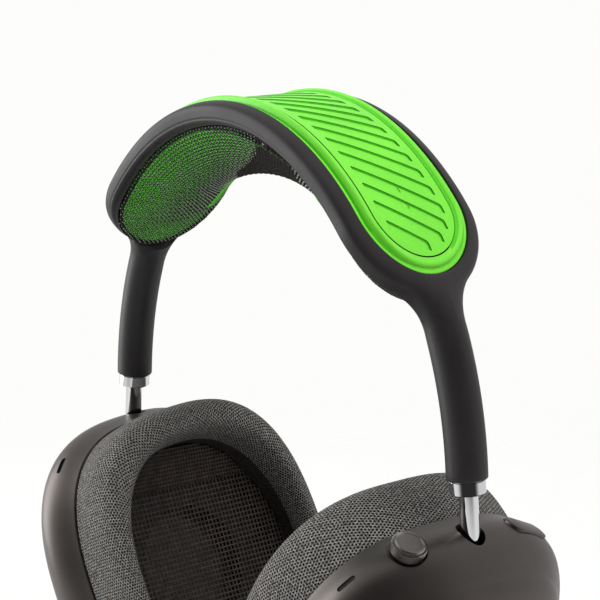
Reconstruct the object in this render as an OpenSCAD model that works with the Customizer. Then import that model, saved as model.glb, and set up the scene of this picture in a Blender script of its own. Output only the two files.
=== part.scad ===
// Over-ear headset: oval soft-touch headband with a knit canopy and a silicone cover,
// telescoping stems, and two swivelling, tilting ear cups with pull-off cushions.
// Millimetres. +Z up, +X the wearer's right, +Y the wearer's front.
// The origin is the point of the canopy that rests on the top of the head.

/* [Headband arch] */
// Half width of the arch, from centre plane to arm centreline
arch_half_w = 68; // [64:0.5:74]
// Rise of the arch centreline above its widest level
arch_rise = 89; // [80:1:98]
// Height of the arm ends above the widest level
arm_end_z = 6.3; // [5:0.1:8]

/* [Headband oval] */
// Half width of the oval, front to back
oval_half_w = 20.8; // [19.5:0.1:22]
// Arc length from the crown to the centre of the oval's round end
oval_end_s = 53.1; // [51:0.1:55]
// Radius of the waist between the oval and an arm
waist_r = 12.3; // [11:0.1:14]
// Height of the rails above the arch centreline
rail_top = 4.1; // [3.9:0.05:4.4]
// Depth of the rails below the arch centreline
rail_bottom = 2.4; // [2.2:0.05:2.8]
// Width of the ledge that the cover rests on
ledge_w = 1.7; // [1.4:0.05:1.9]
// Height of the ledge above the arch centreline
ledge_z = 2.2; // [2:0.05:2.4]
// Thickness of the ledge
ledge_t = 1.2; // [1:0.05:1.5]
// Half width of the pocket that holds the cover
pocket_half_w = 16.9; // [16.4:0.05:17.2]
// Radius of the arms
arm_r = 5.1; // [5:0.05:5.5]

/* [Canopy] */
// Half width of the canopy, front to back
canopy_half_w = 18.5; // [18:0.05:18.8]
// Sag of the canopy below its edge at the crown
canopy_sag = 13; // [10:0.1:18]
// Thickness of the knit
canopy_t = 0.8; // [0.6:0.05:1.2]
// Radius of the hoop in the canopy's edge
hoop_r = 0.7; // [0.5:0.05:0.9]

/* [Silicone cover] */
// Gap between the cover's rim and the pocket wall
cover_gap = 0.15; // [0.1:0.01:0.3]
// Thickness of the cover
cover_t = 1; // [0.8:0.05:1.2]
// Height of the panel above the cover's seat
panel_rise = 0.7; // [0.5:0.05:1]
// Height of the bead above the panel
bead_h = 1; // [0.6:0.05:1.3]
// Depth of the diagonal grooves
groove_depth = 0.5; // [0.3:0.05:0.6]
// Width of the diagonal grooves
groove_w = 2.6; // [2:0.1:3.2]
// Spacing of the grooves along the arch
groove_pitch = 5.15; // [4.65:0.05:6.5]
// Half length of a groove, front to back
groove_half_y = 10; // [8:0.1:10.6]
// Angle of the grooves from the front-to-back direction
groove_angle = 35; // [25:1:40]

/* [Stems] */
// Radius of a stem
stem_r = 2.4; // [2.2:0.05:2.6]
// Outward lean of a stem, going down
stem_lean = 6; // [5.5:0.1:6.5]
// Height of a collar
collar_h = 3.5; // [3:0.1:5]
// Outer radius of a collar
collar_r = 4.45; // [4.3:0.05:4.9]
// Length of the guide bush in an arm
bush_len = 5; // [4:0.1:6]
// Wall of the guide bush
bush_wall = 0.95; // [0.7:0.05:1]
// Running clearance of the stem in its bush, on the radius
slide_gap = 0.05; // [0.03:0.01:0.08]
// Travel of a stem out of its arm
stem_out = 14; // [10:0.5:14]
// Travel of a stem into its arm
stem_in = 5; // [3:0.5:5]

/* [Ear cups] */
// Distance from a collar down to the cup's tilt pin, along the stem
pin_drop = 20; // [19.5:0.1:21]
// Inward tilt of the cups from vertical at rest
cup_tilt = 26; // [24:0.5:28]
// Turn of the cups about their stems at rest
cup_yaw = -7.5; // [-10:0.5:-5]
// Half width of a cup at its seam, front to back
cup_half_v = 38.4; // [37:0.1:40]
// Half height of a cup at its seam
cup_half_w = 46; // [45:0.1:48]
// Squareness of the cup outline, 2 for an ellipse
cup_square = 2.68; // [2.4:0.02:3]
// Distance of the cup centre behind the pin
cup_back = 3.9; // [3:0.1:4.5]
// Distance of the cup centre below the pin
cup_drop = 39.7; // [39.2:0.1:40.5]
// Distance of the seam inward from the pin
seam_u = 13.35; // [13:0.05:14]
// Depth of a shell from its seam to its outer face
shell_depth = 26.7; // [26:0.1:29]
// Bulge of a shell beyond its seam
shell_bulge = 3.1; // [2.5:0.1:3.5]
// Wall of a shell
shell_wall = 1.5; // [1.3:0.05:1.8]

/* [Ear cushions] */
// Gap between a cup and its cushion plate
cushion_gap = 0.35; // [0.3:0.05:0.5]
// Thickness of a cushion plate
plate_t = 1.2; // [1:0.1:1.6]
// Height of a cushion above its plate
cushion_h = 17; // [14:0.5:19]
// Outward bulge of a cushion
cushion_bulge = 1.5; // [0.5:0.1:2.2]
// Half width of the ear well, front to back
well_half_v = 30; // [28:0.2:31]
// Half height of the ear well
well_half_w = 35; // [33:0.2:37]

/* [Drivers] */
// Thickness of the baffle
baffle_t = 2; // [1.6:0.1:2.6]
// Radius of a driver
driver_r = 20; // [18:0.2:21]
// Depth of a driver basket
basket_h = 5; // [4:0.1:6]
// Radius of a driver magnet
magnet_r = 11; // [9:0.2:13]
// Depth of a driver magnet
magnet_h = 4; // [3:0.1:5]
// Height of a diaphragm's dome
dome_h = 1.4; // [1:0.1:1.6]

/* [Controls] */
// Radius of the crown
crown_r = 4.5; // [4.2:0.05:4.8]
// Height of the crown above its seat
crown_h = 3.3; // [3:0.1:5]
// Radius of the crown's shaft
crown_shaft_r = 1.5; // [1.3:0.05:1.6]
// Distance of the crown behind the pin
crown_back = 18.3; // [17:0.1:19]
// Travel of the crown and of the button
press_travel = 0.5; // [0.3:0.05:0.6]
// Half length of the button between its end centres
button_half_l = 4.5; // [3.5:0.1:5]
// Radius of the button's ends
button_r = 3; // [2.6:0.1:3.2]
// Distance of the button in front of the pin
button_front = 19.5; // [18.5:0.1:20.5]
// Height of the button above the shell
button_proud = 0.9; // [0.7:0.05:1.2]

/* [Hidden] */

// Clearances
seat_gap = 0.3;            // between curved pieces on different bodies
fit_gap = 0.05;            // round a pin or shaft, on the radius

// The arch: an ellipse, walked by arc length s from the crown, off outwards from it
hoop_off = -rail_bottom - hoop_r - fit_gap;
canopy_bottom = hoop_off - canopy_t / 2 - canopy_sag;
arch_base_z = -canopy_bottom - arch_rise;
arc_step = 0.5;            // degrees between entries of the arc table
function arc_speed(a) = norm([arch_half_w * cos(a), arch_rise * sin(a)]) * arc_step * PI / 180;
ARC = [for (a = 0, s = 0; a <= 92; s = s + arc_speed(a + arc_step / 2), a = a + arc_step) [s, a]];
function arc_angle(s) = sign(s) * lookup(abs(s), ARC);
function arc_out(a) =
    let (n = [arch_rise * sin(a), arch_half_w * cos(a)]) n / norm(n);
function on_arch(s, y, off) =
    let (a = arc_angle(s), n = arc_out(a))
    [arch_half_w * sin(a) + off * n[0], y, arch_base_z + arch_rise * cos(a) + off * n[1]];
arm_end_a = acos(arm_end_z / arch_rise);
arm_end_s = lookup(arm_end_a, [for (e = ARC) [e[1], e[0]]]);

// The oval's round end turns into the arm through a waist on each side
waist_y = arm_r + waist_r;
waist_a = asin(waist_y / (oval_half_w + waist_r));
waist_s = oval_end_s + (oval_half_w + waist_r) * cos(waist_a);
neck_s = waist_s + 3;      // arc length where the arm tube takes over
pocket_end_s = oval_end_s - 1.2;
canopy_end_s = oval_end_s + 2.4;

// The stem's axis, from the end of the arm tube
arm_end = on_arch(arm_end_s, 0, 0);
glide_len = 2.5;
spigot_len = 1.6;
bush_top = spigot_len + bush_len;
stem_top = bush_top + glide_len + stem_out + 0.3;
bore_top = stem_top + stem_in + 0.3;
glide_r = stem_r + 0.15;
bush_r = stem_r + slide_gap + bush_wall;

// The yoke and the tilt pin
pin_h = collar_h + pin_drop;
pin_r = 1.2;
pin_half_len = 7.2;
yoke_r = 4;
yoke_w = 4.8;                // the plate's flats, across the tilt pin
yoke_plate_t = 2;
yoke_plate_z = 2.4;        // from the pin to the underside of the yoke's plate
yoke_cheek_t = 1.2;
neck_r = 1.5;
clip_t = 0.7;
cheek_y = 3;               // inner face of a yoke cheek
ear_y = 4.6;               // inner face of a bracket ear
ear_t = 2;

// The shell's superellipse and how it closes toward its outer face
shell_close = 4.43;
cup_v = -cup_back;
cup_w = -cup_drop;
shell_steps = 48;
ring_steps = 56;
function super_pt(a, rv, rw, n) =
    [sign(cos(a)) * rv * pow(abs(cos(a)), 2 / n), sign(sin(a)) * rw * pow(abs(sin(a)), 2 / n)];
function shell_k(f) = pow(max(1 - pow(f, shell_close), 0), 1 / shell_close);
function bulge_at(f) = shell_bulge * sin(180 * min(f / 0.7, 1));
function shell_pt(f, a, in) =
    let (p = shell_k(f) * super_pt(a, cup_half_v + bulge_at(f) - in,
                                   cup_half_w + bulge_at(f) - in, cup_square))
    [-seam_u + f * (shell_depth - in), cup_v + p[0], cup_w + p[1]];
// Height of the shell's outer skin over a point of its top, and the skin's slope there
function skin_f(u) = (u + seam_u) / shell_depth;
function skin_w(u, v) =
    let (f = skin_f(u), k = shell_k(f), rv = k * (cup_half_v + bulge_at(f)),
         rw = k * (cup_half_w + bulge_at(f)))
    cup_w + rw * pow(1 - pow(abs(v - cup_v) / rv, cup_square), 1 / cup_square);
function skin_slope(u, v) = atan2(skin_w(u, v + 0.1) - skin_w(u, v - 0.1), 0.2);

// Levels through a cup, from the head outward
plate_u = -seam_u - cushion_gap;
cushion_u = plate_u - plate_t;
baffle_back_u = -seam_u + baffle_t;
basket_back_u = baffle_back_u + basket_h;
magnet_back_u = basket_back_u + magnet_h;
board_t = 1.2;

// Controls on the right cup
control_u = -5.8;
crown_seat_w = skin_w(control_u, -crown_back) - 1.6;
crown_shaft_len = 9;
sleeve_r = crown_shaft_r + 0.7;
sleeve_len = 5;
button_slope = skin_slope(control_u, button_front);
button_w = skin_w(control_u, button_front);
button_depth = 2.6;
mic_u = -7;
mic_v = -33;
mic_half_l = 1.9;
mic_r = 0.75;

// ---- helpers ----

function grid_faces(rows, cols, closed) =
    [for (i = [0 : rows - 2], j = [0 : cols - (closed ? 1 : 2)])
        let (a = i * cols + j, b = i * cols + (j + 1) % cols, c = a + cols, d = b + cols)
        each [[a, b, d], [a, d, c]]];

function flip(faces) = [for (f = faces) [for (i = [len(f) - 1 : -1 : 0]) f[i]]];

// A solid from closed rings of points, either closed on itself or with flat ends
module loft(rings, loop = false) {
    cols = len(rings[0]);
    all_rings = loop ? concat(rings, [rings[0]]) : rings;
    rows = len(rings);
    wrapped = [for (i = [0 : len(all_rings) - 2], j = [0 : cols - 1])
        let (i2 = (i + 1) % rows, j2 = (j + 1) % cols,
             a = i * cols + j, b = i * cols + j2, c = i2 * cols + j, d = i2 * cols + j2)
        each [[a, d, b], [a, c, d]]];
    ends = loop ? [] : [[for (j = [0 : cols - 1]) j],
                        [for (j = [cols - 1 : -1 : 0]) (rows - 1) * cols + j]];
    polyhedron(points = [for (r = rings) each r], faces = concat(wrapped, ends), convexity = 8);
}

module at_arm() {
    translate(arm_end) rotate([0, -stem_lean, 0]) children();
}

module at_yoke() {
    at_arm() translate([0, 0, -pin_h]) rotate([0, 0, cup_yaw]) children();
}

// The cup's own frame: X outward from the head, Y forward, Z up along the cup
module at_cup() {
    at_yoke() rotate([0, stem_lean + cup_tilt, 0]) children();
}

module along_u(u) {
    translate([u, 0, 0]) rotate([90, 0, 90]) children();
}

module left() {
    mirror([1, 0, 0]) children();
}

module ring_of(r_out, r_in, h) {
    difference() {
        cylinder(r = r_out, h = h, $fn = 48);
        translate([0, 0, -1]) cylinder(r = r_in, h = h + 2, $fn = 48);
    }
}

// ---- headband ----

// A round-ended oval, one quarter at a time: step j of the quarter from the crown to the end
straight_steps = 6;
turn_steps = 6;
neck_steps = 10;
quarter_steps = straight_steps + turn_steps + neck_steps;

function turn_angle(j) =
    j <= straight_steps ? 90
    : j <= straight_steps + turn_steps
        ? 90 - (90 - waist_a) * (j - straight_steps) / turn_steps
    : waist_a * (1 - (j - straight_steps - turn_steps) / neck_steps);

function oval_pt(j, half_w, end_s) =
    j <= straight_steps ? [end_s * j / straight_steps, half_w]
    : [end_s + half_w * cos(turn_angle(j)), half_w * sin(turn_angle(j))];

// The outer edge follows the oval, then the waist, then the arm's side and its end
function neck_edge(v) =
    v <= 0.5
        ? let (a = 180 + waist_a + (90 - waist_a) * v / 0.5)
          [waist_s + waist_r * cos(a), waist_y + waist_r * sin(a)]
    : v < 0.65 ? [neck_s, arm_r]
    : [neck_s, arm_r * cos(90 * (v - 0.6) / 0.4)];
function edge_pt(j) =
    j <= straight_steps + turn_steps ? oval_pt(j, oval_half_w, oval_end_s)
    : neck_edge((j - straight_steps - turn_steps) / neck_steps);

// Distance of a point inside the outline from its edge
function edge_gap(p) =
    let (s = p[0], y = abs(p[1]))
    s >= waist_s ? arm_r - y
    : s <= oval_end_s ? oval_half_w - y
    : atan2(y, s - oval_end_s) < waist_a ? norm([s - waist_s, y - waist_y]) - waist_r
    : oval_half_w - norm([s - oval_end_s, y]);
function ease(t) = let (c = min(max(t, 0), 1)) c * c * (3 - 2 * c);
function neck_mix(s) = ease((s - oval_end_s - 5) / (neck_s - oval_end_s - 5));
function mix(a, b, t) = a + (b - a) * t;
function roll(p) =
    let (t = neck_mix(p[0]), n = mix(5, 2, t), w = mix(oval_half_w, arm_r, t),
         x = 1 - min(max(edge_gap(p) / w, 0), 1))
    pow(max(1 - pow(x, n), 0), 1 / n);
edge_half_t = 0.25;        // half height of the outline's blunt edge
function top_at(p) = max(edge_half_t, mix(rail_top, arm_r, neck_mix(p[0])) * roll(p));
function bottom_at(p) = -max(edge_half_t, mix(rail_bottom, arm_r, neck_mix(p[0])) * roll(p));

function rail_section(j) =
    let (ledge = oval_pt(j, pocket_half_w - ledge_w, pocket_end_s),
         wall = oval_pt(j, pocket_half_w, pocket_end_s),
         lip = oval_pt(j, canopy_half_w, canopy_end_s), edge = edge_pt(j))
    concat([[ledge, ledge_z], [wall, ledge_z]],
           [for (t = [0, 0.35, 0.62, 0.82, 0.94]) let (p = mix(wall, edge, t)) [p, top_at(p)]],
           [[edge, top_at(edge)], [edge, bottom_at(edge)]],
           [for (t = [0.1, 0.35, 0.7]) let (p = mix(edge, lip, t)) [p, bottom_at(p)]],
           [[lip, -rail_bottom], [ledge, ledge_z - ledge_t]]);

// Steps around the whole oval, each quarter mirrored from the first
function around() =
    concat([for (j = [0 : quarter_steps]) [j, 1, 1]],
           [for (j = [quarter_steps - 1 : -1 : 0]) [j, 1, -1]],
           [for (j = [1 : quarter_steps]) [j, -1, -1]],
           [for (j = [quarter_steps - 1 : -1 : 1]) [j, -1, 1]]);

module headband_frame() {
    color("#353334")
    loft([for (q = around())
            [for (e = rail_section(q[0])) on_arch(q[1] * e[0][0], q[2] * e[0][1], e[1])]],
         loop = true);
}

// The tube's foot is square to the stem, which leans a little more than the arch
arm_end_turn = stem_lean - atan2(arc_out(arm_end_a)[1], arc_out(arm_end_a)[0]);
arm_sides = 24;
arm_rings = 11;
module arm_tube() {
    color("#2b2828")
    difference() {
        loft([for (i = [arm_rings : -1 : 0]) let (s = mix(neck_s, arm_end_s, i / arm_rings))
                [for (k = [0 : arm_sides - 1]) let (a = 360 * k / arm_sides)
                    on_arch(s - (i == arm_rings ? arm_r * cos(a) * tan(arm_end_turn) : 0),
                            arm_r * sin(a), arm_r * cos(a))]]);
        at_arm() translate([0, 0, -1]) cylinder(r = bush_r, h = bush_top + 1, $fn = 48);
        at_arm() cylinder(r = glide_r + slide_gap, h = bore_top, $fn = 48);
    }
}

// The hoop in the canopy's edge runs just under the lip of the rails
hoop_half_w = canopy_half_w - hoop_r - 0.1;
hoop_steps = 12;           // steps in a quarter
function lip_pt(j, half_w) =
    j <= 5 ? [canopy_end_s * j / 5, half_w]
    : let (a = 90 * (hoop_steps - j) / (hoop_steps - 5))
      [canopy_end_s + half_w * cos(a), half_w * sin(a)];
function hoop_around() =
    concat([for (j = [0 : hoop_steps]) [j, 1, 1]],
           [for (j = [hoop_steps - 1 : -1 : 0]) [j, 1, -1]],
           [for (j = [1 : hoop_steps]) [j, -1, -1]],
           [for (j = [hoop_steps - 1 : -1 : 1]) [j, -1, 1]]);

module canopy_hoop() {
    color("#4a4a4c")
    loft([for (q = hoop_around())
            [for (k = [0 : 5]) let (a = 60 * k, p = lip_pt(q[0], hoop_half_w + hoop_r * cos(a)))
                on_arch(q[1] * p[0], q[2] * p[1], hoop_off + hoop_r * sin(a))]],
         loop = true);
}

// The canopy hangs in the hoop: deepest at the crown, flat toward the arms
canopy_in_w = hoop_half_w - hoop_r - fit_gap;
function sag_at(s) =
    let (t = min(abs(s) / oval_end_s, 1.25)) canopy_sag * (1 - 0.6 * t * t);
canopy_rows = 30;
canopy_cols = 10;
function canopy_row(i) =
    let (s_max = canopy_end_s + canopy_in_w * 0.995, g = 2 * i / canopy_rows - 1,
         s = sign(g) * s_max * (1 - pow(1 - abs(g), 1.25)))
    [s, abs(s) <= canopy_end_s ? canopy_in_w
        : sqrt(pow(canopy_in_w, 2) - pow(abs(s) - canopy_end_s, 2))];
function canopy_pt(i, j, drop) =
    let (r = canopy_row(i), y = r[1] * (2 * j / canopy_cols - 1),
         fall = sag_at(r[0]) * (pow(r[1] / canopy_in_w, 2) - pow(y / canopy_in_w, 2)))
    on_arch(r[0], y, hoop_off + canopy_t / 2 - fall - drop);

module canopy() {
    color("#4a4648")
    loft([for (i = [0 : canopy_rows])
            concat([for (j = [0 : canopy_cols]) canopy_pt(i, j, 0)],
                   [for (j = [canopy_cols : -1 : 0]) canopy_pt(i, j, canopy_t)])]);
}

// The cover: a rim on the ledge, a rounded bead, and a panel with diagonal grooves
cover_half_w = pocket_half_w - cover_gap;
cover_seat = ledge_z + fit_gap;
cover_steps = 11;          // steps in a quarter
function cover_pt(j, half_w) =
    j <= 6 ? [pocket_end_s * j / 6, half_w]
    : let (a = 90 * (cover_steps - j) / (cover_steps - 6))
      [pocket_end_s + half_w * cos(a), half_w * sin(a)];
function cover_around() =
    concat([for (j = [0 : cover_steps]) [j, 1, 1]],
           [for (j = [cover_steps - 1 : -1 : 0]) [j, 1, -1]],
           [for (j = [1 : cover_steps]) [j, -1, -1]],
           [for (j = [cover_steps - 1 : -1 : 1]) [j, -1, 1]]);
panel_top = cover_seat + cover_t + panel_rise;
// Inset from the rim and height of each line of the cover's section, top then underside
COVER_LINES = [[0, cover_seat + 0.1], [0.3, cover_seat + cover_t], [1.1, cover_seat + cover_t],
               [1.4, panel_top + bead_h * 0.4], [2.1, panel_top + bead_h], [3, panel_top + bead_h],
               [3.8, panel_top + bead_h * 0.4], [4.4, panel_top], [cover_half_w - 2, panel_top],
               [cover_half_w - 2, panel_top - cover_t], [ledge_w + 0.8, panel_top - cover_t],
               [ledge_w + 0.3, cover_seat], [0.2, cover_seat]];

// The panel's middle is a plain strip between the two innermost lines
module cover_body() {
    ring = [for (q = cover_around())
        [for (e = COVER_LINES) let (p = cover_pt(q[0], cover_half_w - e[0]))
            on_arch(q[1] * p[0], q[2] * p[1], e[1])]];
    cols = len(COVER_LINES);
    count = len(ring);
    inner_top = 8;
    sides = [for (i = [0 : count - 1], j = [0 : cols - 1])
        if (j != inner_top)
            let (i2 = (i + 1) % count, j2 = (j + 1) % cols,
                 a = i * cols + j, b = i * cols + j2, c = i2 * cols + j, d = i2 * cols + j2)
            each [[a, d, b], [a, c, d]]];
    half = count / 4;
    // Pairs of stations that face each other across the middle strip
    function idx(i, line) = ((i + count) % count) * cols + line;
    strip = [for (line = [inner_top, inner_top + 1], i = [-half : half - 1])
        let (a = idx(i, line), b = idx(i + 1, line),
             c = idx(2 * half - i, line), d = idx(2 * half - i - 1, line),
             quad = [each (i == -half ? [] : [[a, c, b]]), each (i == half - 1 ? [] : [[b, c, d]])])
        each (line == inner_top ? quad : flip(quad))];
    polyhedron(points = [for (r = ring) each r], faces = concat(sides, strip), convexity = 10);
}

groove_count = 2 * floor((pocket_end_s + groove_half_y) / groove_pitch) + 1;
groove_bits = 2;
// Where a groove's middle line ends, toward the front (side 1) or the back (side -1):
// the grooves stop along the panel's straight sides and round its ends
function groove_reach(s, side) =
    let (t = tan(groove_angle), past = s - pocket_end_s)
    past + side * groove_half_y * t < 0 ? side * groove_half_y
    : (side * sqrt(max(0, pow(groove_half_y, 2) * (1 + t * t) - past * past)) - t * past) / (1 + t * t);

module groove(s) {
    low = (s < 0 ? -groove_reach(-s, 1) : groove_reach(s, -1)) + groove_w / 2;
    high = (s < 0 ? -groove_reach(-s, -1) : groove_reach(s, 1)) - groove_w / 2;
    for (k = [0 : groove_bits - 1])
        hull() for (y = [mix(low, high, k / groove_bits), mix(low, high, (k + 1) / groove_bits)]) {
            at_s = s + y * tan(groove_angle);
            translate(on_arch(at_s, y, panel_top - groove_depth)) rotate([0, arc_angle(at_s), 0])
                cylinder(d = groove_w, h = 4, $fn = 8);
        }
}

module silicone_cover() {
    color("#5ae52c")
    difference() {
        cover_body();
        for (i = [0 : groove_count - 1])
            groove((i - (groove_count - 1) / 2) * groove_pitch);
    }
}

// ---- telescoping stem ----

module collar() {
    color("#d8d8da")
    at_arm() difference() {
        union() {
            translate([0, 0, -collar_h]) cylinder(r = collar_r, h = collar_h, $fn = 64);
            cylinder(r = bush_r - fit_gap, h = spigot_len, $fn = 64);
        }
        translate([0, 0, -collar_h - 1])
            cylinder(r = stem_r + 2 * slide_gap, h = collar_h + spigot_len + 2, $fn = 64);
    }
}

module guide_bush() {
    color("#e8e6df")
    at_arm() translate([0, 0, spigot_len])
        ring_of(bush_r, stem_r + slide_gap, bush_len);
}

stem_shoulder = -pin_h + yoke_plate_z + yoke_plate_t + fit_gap;
module stem() {
    color("#cfd0d2")
    at_arm() {
        translate([0, 0, stem_shoulder])
            cylinder(r = stem_r, h = stem_top - glide_len - stem_shoulder, $fn = 64);
        translate([0, 0, stem_top - glide_len]) cylinder(r = 1.7, h = glide_len, $fn = 32);
        translate([0, 0, -pin_h + yoke_plate_z - fit_gap - clip_t])
            cylinder(r = neck_r, h = yoke_plate_t + clip_t + 2.5 * fit_gap, $fn = 32);
    }
}

module stem_glide() {
    color("#303030")
    at_arm() translate([0, 0, stem_top - glide_len]) ring_of(glide_r, 1.7, glide_len);
}

// A retaining clip keeps the yoke on the stem's neck
module stem_clip() {
    color("#8f9194")
    at_arm() translate([0, 0, -pin_h + yoke_plate_z - fit_gap - clip_t])
        ring_of(neck_r + 0.75, neck_r, clip_t);
}

// The yoke turns on the stem's neck and carries the tilt pin in its two cheeks
module yoke() {
    color("#77797c")
    at_yoke() difference() {
        union() {
            intersection() {
                translate([0, 0, yoke_plate_z]) cylinder(r = yoke_r, h = yoke_plate_t, $fn = 48);
                translate([-yoke_w / 2, -yoke_r - 1, 0]) cube([yoke_w, 2 * yoke_r + 2, 20]);
            }
            for (side = [-1, 1])
                translate([-2, side * (cheek_y + yoke_cheek_t / 2) - yoke_cheek_t / 2, -2])
                    cube([4, yoke_cheek_t, yoke_plate_z + yoke_plate_t + 1.8]);
        }
        cylinder(r = neck_r + fit_gap, h = 20, $fn = 48);
        rotate([90, 0, 0]) cylinder(r = pin_r, h = 20, center = true, $fn = 48);
    }
}

module tilt_pin() {
    color("#b9bbbd")
    at_yoke() rotate([90, 0, 0])
        cylinder(r = pin_r, h = 2 * pin_half_len, center = true, $fn = 48);
}

// ---- cup: hinge ----

ear_reach = 9;
// Two ears on a plate that stands on the back of the baffle
module hinge_bracket() {
    color("#5c5e61")
    at_cup() difference() {
        union() {
            for (side = [-1, 1]) translate([0, side * (ear_y + ear_t / 2) - ear_t / 2, 0]) {
                rotate([-90, 0, 0]) cylinder(r = 2.6, h = ear_t, $fn = 48);
                translate([0, 0, -ear_reach]) cube([2.6, ear_t, ear_reach]);
            }
            translate([baffle_back_u, -ear_y - ear_t - 2, -ear_reach - 2])
                cube([2.6 - baffle_back_u, 2 * (ear_y + ear_t) + 4, 2]);
        }
        rotate([90, 0, 0]) cylinder(r = pin_r + fit_gap, h = 30, center = true, $fn = 48);
    }
}

// A bent leaf on the bracket's plate pushes the cup's foot inward
module tilt_spring() {
    color("#a9abad")
    at_cup() {
        translate([-1, -2, -ear_reach]) cube([3, 4, 0.4]);
        translate([1.6, -2, -ear_reach]) cube([0.4, 4, 5]);
    }
}

// ---- cup: shell ----

OUTER_F = concat([0, 0.1, 0.22, 0.34], [for (a = [10 : 10 : 80]) pow(sin(a), 2 / shell_close)]);
INNER_F = concat([0, 0.2, 0.36, 0.5], [for (a = [25, 45, 65, 80]) pow(sin(a), 2 / shell_close)]);

module shell_body() {
    n = shell_steps;
    outer = [for (f = OUTER_F, i = [0 : n - 1]) shell_pt(f, 360 * i / n, 0)];
    inner = [for (f = INNER_F, i = [0 : n - 1]) shell_pt(f, 360 * i / n, shell_wall)];
    ro = len(OUTER_F);
    ri = len(INNER_F);
    points = concat(outer, inner, [[-seam_u + shell_depth, cup_v, cup_w]],
                    [[-seam_u + shell_depth - shell_wall, cup_v, cup_w]]);
    tip_out = n * (ro + ri);
    out_faces = concat(flip(grid_faces(ro, n, true)),
                       [for (i = [0 : n - 1]) [(ro - 1) * n + i, tip_out, (ro - 1) * n + (i + 1) % n]]);
    in_faces = [for (f = grid_faces(ri, n, true)) [for (k = f) k + n * ro]];
    in_tip = [for (i = [0 : n - 1])
        [n * (ro + ri - 1) + i, n * (ro + ri - 1) + (i + 1) % n, tip_out + 1]];
    rim = [for (i = [0 : n - 1]) let (j = (i + 1) % n) each [[i, j, n * ro + j], [i, n * ro + j, n * ro + i]]];
    polyhedron(points = points, faces = concat(out_faces, in_faces, in_tip, rim), convexity = 8);
}

// Screw posts for the baffle stand between it and the outer face
POSTS = [for (v = [-1, 1], w = [-1, 1]) [cup_v + v * 26, cup_w + w * 33]];
post_r = 2.3;
screw_r = 0.9;

// The slot lets the stem lean through the tilt range; it follows the stem's two limits
tilt_in = 2.5;
tilt_out = 3;
slot_gap = 0.8;
module stem_sweep(gap) {
    hull() for (a = [-tilt_in, tilt_out])
        rotate([0, -stem_lean - cup_tilt + a, 0]) translate([0, 0, 3])
            cylinder(r = stem_r + gap, h = 14, $fn = 24);
}

module mic_cut(depth, height, gap) {
    slope = skin_slope(mic_u, mic_v);
    translate([mic_u, mic_v, skin_w(mic_u, mic_v)]) rotate([slope, 0, 0])
        translate([0, 0, -depth]) hull() for (t = [-1, 1])
            translate([0, t * mic_half_l, 0]) cylinder(r = mic_r + gap, h = height, $fn = 16);
}

module pill(r, half_l, h) {
    linear_extrude(height = h) {
        for (t = [-1, 1]) translate([0, t * half_l]) circle(r = r, $fn = 32);
        translate([-r, -half_l]) square([2 * r, 2 * half_l]);
    }
}

module at_button() {
    translate([control_u, button_front, button_w]) rotate([button_slope, 0, 0]) children();
}

port_half_l = 3;
port_r = 1.6;
port_u = -6;
port_w = cup_w - cup_half_w - shell_bulge;
module port_cut(gap) {
    translate([port_u, cup_v, port_w - 2])
        pill(port_r + gap, port_half_l, 12);
}

module plain_shell() {
    difference() {
        union() {
            shell_body();
            for (p = POSTS) along_u(baffle_back_u) translate([p[0], p[1], 0])
                cylinder(r = post_r, h = 20.5, $fn = 12);
        }
        for (p = POSTS) along_u(baffle_back_u) translate([p[0], p[1], -1])
            cylinder(r = screw_r, h = 9, $fn = 12);
        stem_sweep(slot_gap);
        mic_cut(3, 6, 0);
        difference() {
            translate([-100, -100, -100]) cube([200, 200, 200]);
            shell_envelope(0);
        }
    }
}

// Everything inside the shell's outer skin grown by a height
module shell_envelope(grow) {
    n = shell_steps;
    ro = len(OUTER_F);
    outer = [for (f = OUTER_F, i = [0 : n - 1]) shell_pt(f, 360 * i / n, -grow)];
    polyhedron(points = concat(outer, [[-seam_u + shell_depth + grow, cup_v, cup_w]]),
               faces = concat(flip(grid_faces(ro, n, true)),
                              [for (i = [0 : n - 1]) [(ro - 1) * n + i, ro * n, (ro - 1) * n + (i + 1) % n]],
                              [[for (i = [0 : n - 1]) i]]),
               convexity = 4);
}

module right_shell() {
    color("#5a5858")
    at_cup() difference() {
        plain_shell();
        translate([control_u, -crown_back, crown_seat_w - 4])
            cylinder(r = crown_r + seat_gap, h = 14, $fn = 32);
        at_button() translate([0, 0, -4]) pill(button_r + 0.2, button_half_l, 10);
        port_cut(0);
    }
}

module left_shell() {
    color("#5a5858")
    left() at_cup() plain_shell();
}

// ---- cup: acoustics ----

function outline(rv, rw, n, steps) =
    [for (i = [0 : steps - 1]) let (p = super_pt(360 * i / steps, rv, rw, n)) [cup_v + p[0], cup_w + p[1]]];

module baffle() {
    color("#262628")
    at_cup() difference() {
        along_u(-seam_u + 0.1) linear_extrude(height = baffle_t - 0.1)
            polygon(outline(cup_half_v - shell_wall - 0.1, cup_half_w - shell_wall - 0.1,
                            cup_square, shell_steps));
        along_u(-seam_u - 1) translate([cup_v, cup_w, 0])
            cylinder(r = driver_r - 2, h = baffle_t + 2, $fn = 96);
        for (p = POSTS) along_u(-seam_u - 1) translate([p[0], p[1], 0])
            cylinder(r = screw_r + 0.1, h = baffle_t + 2, $fn = 24);
    }
}

module driver_basket() {
    color("#3c3d40")
    at_cup() along_u(baffle_back_u) translate([cup_v, cup_w, 0]) difference() {
        cylinder(r1 = driver_r, r2 = driver_r - 1.5, h = basket_h, $fn = 96);
        translate([0, 0, -1]) cylinder(r = driver_r - 3, h = basket_h, $fn = 96);
    }
}

module driver_magnet() {
    color("#8a8c90")
    at_cup() along_u(basket_back_u) translate([cup_v, cup_w, 0]) {
        cylinder(r = magnet_r, h = magnet_h - 1, $fn = 64);
        translate([0, 0, magnet_h - 1]) cylinder(r = magnet_r - 1, h = 1, $fn = 64);
    }
}

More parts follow.
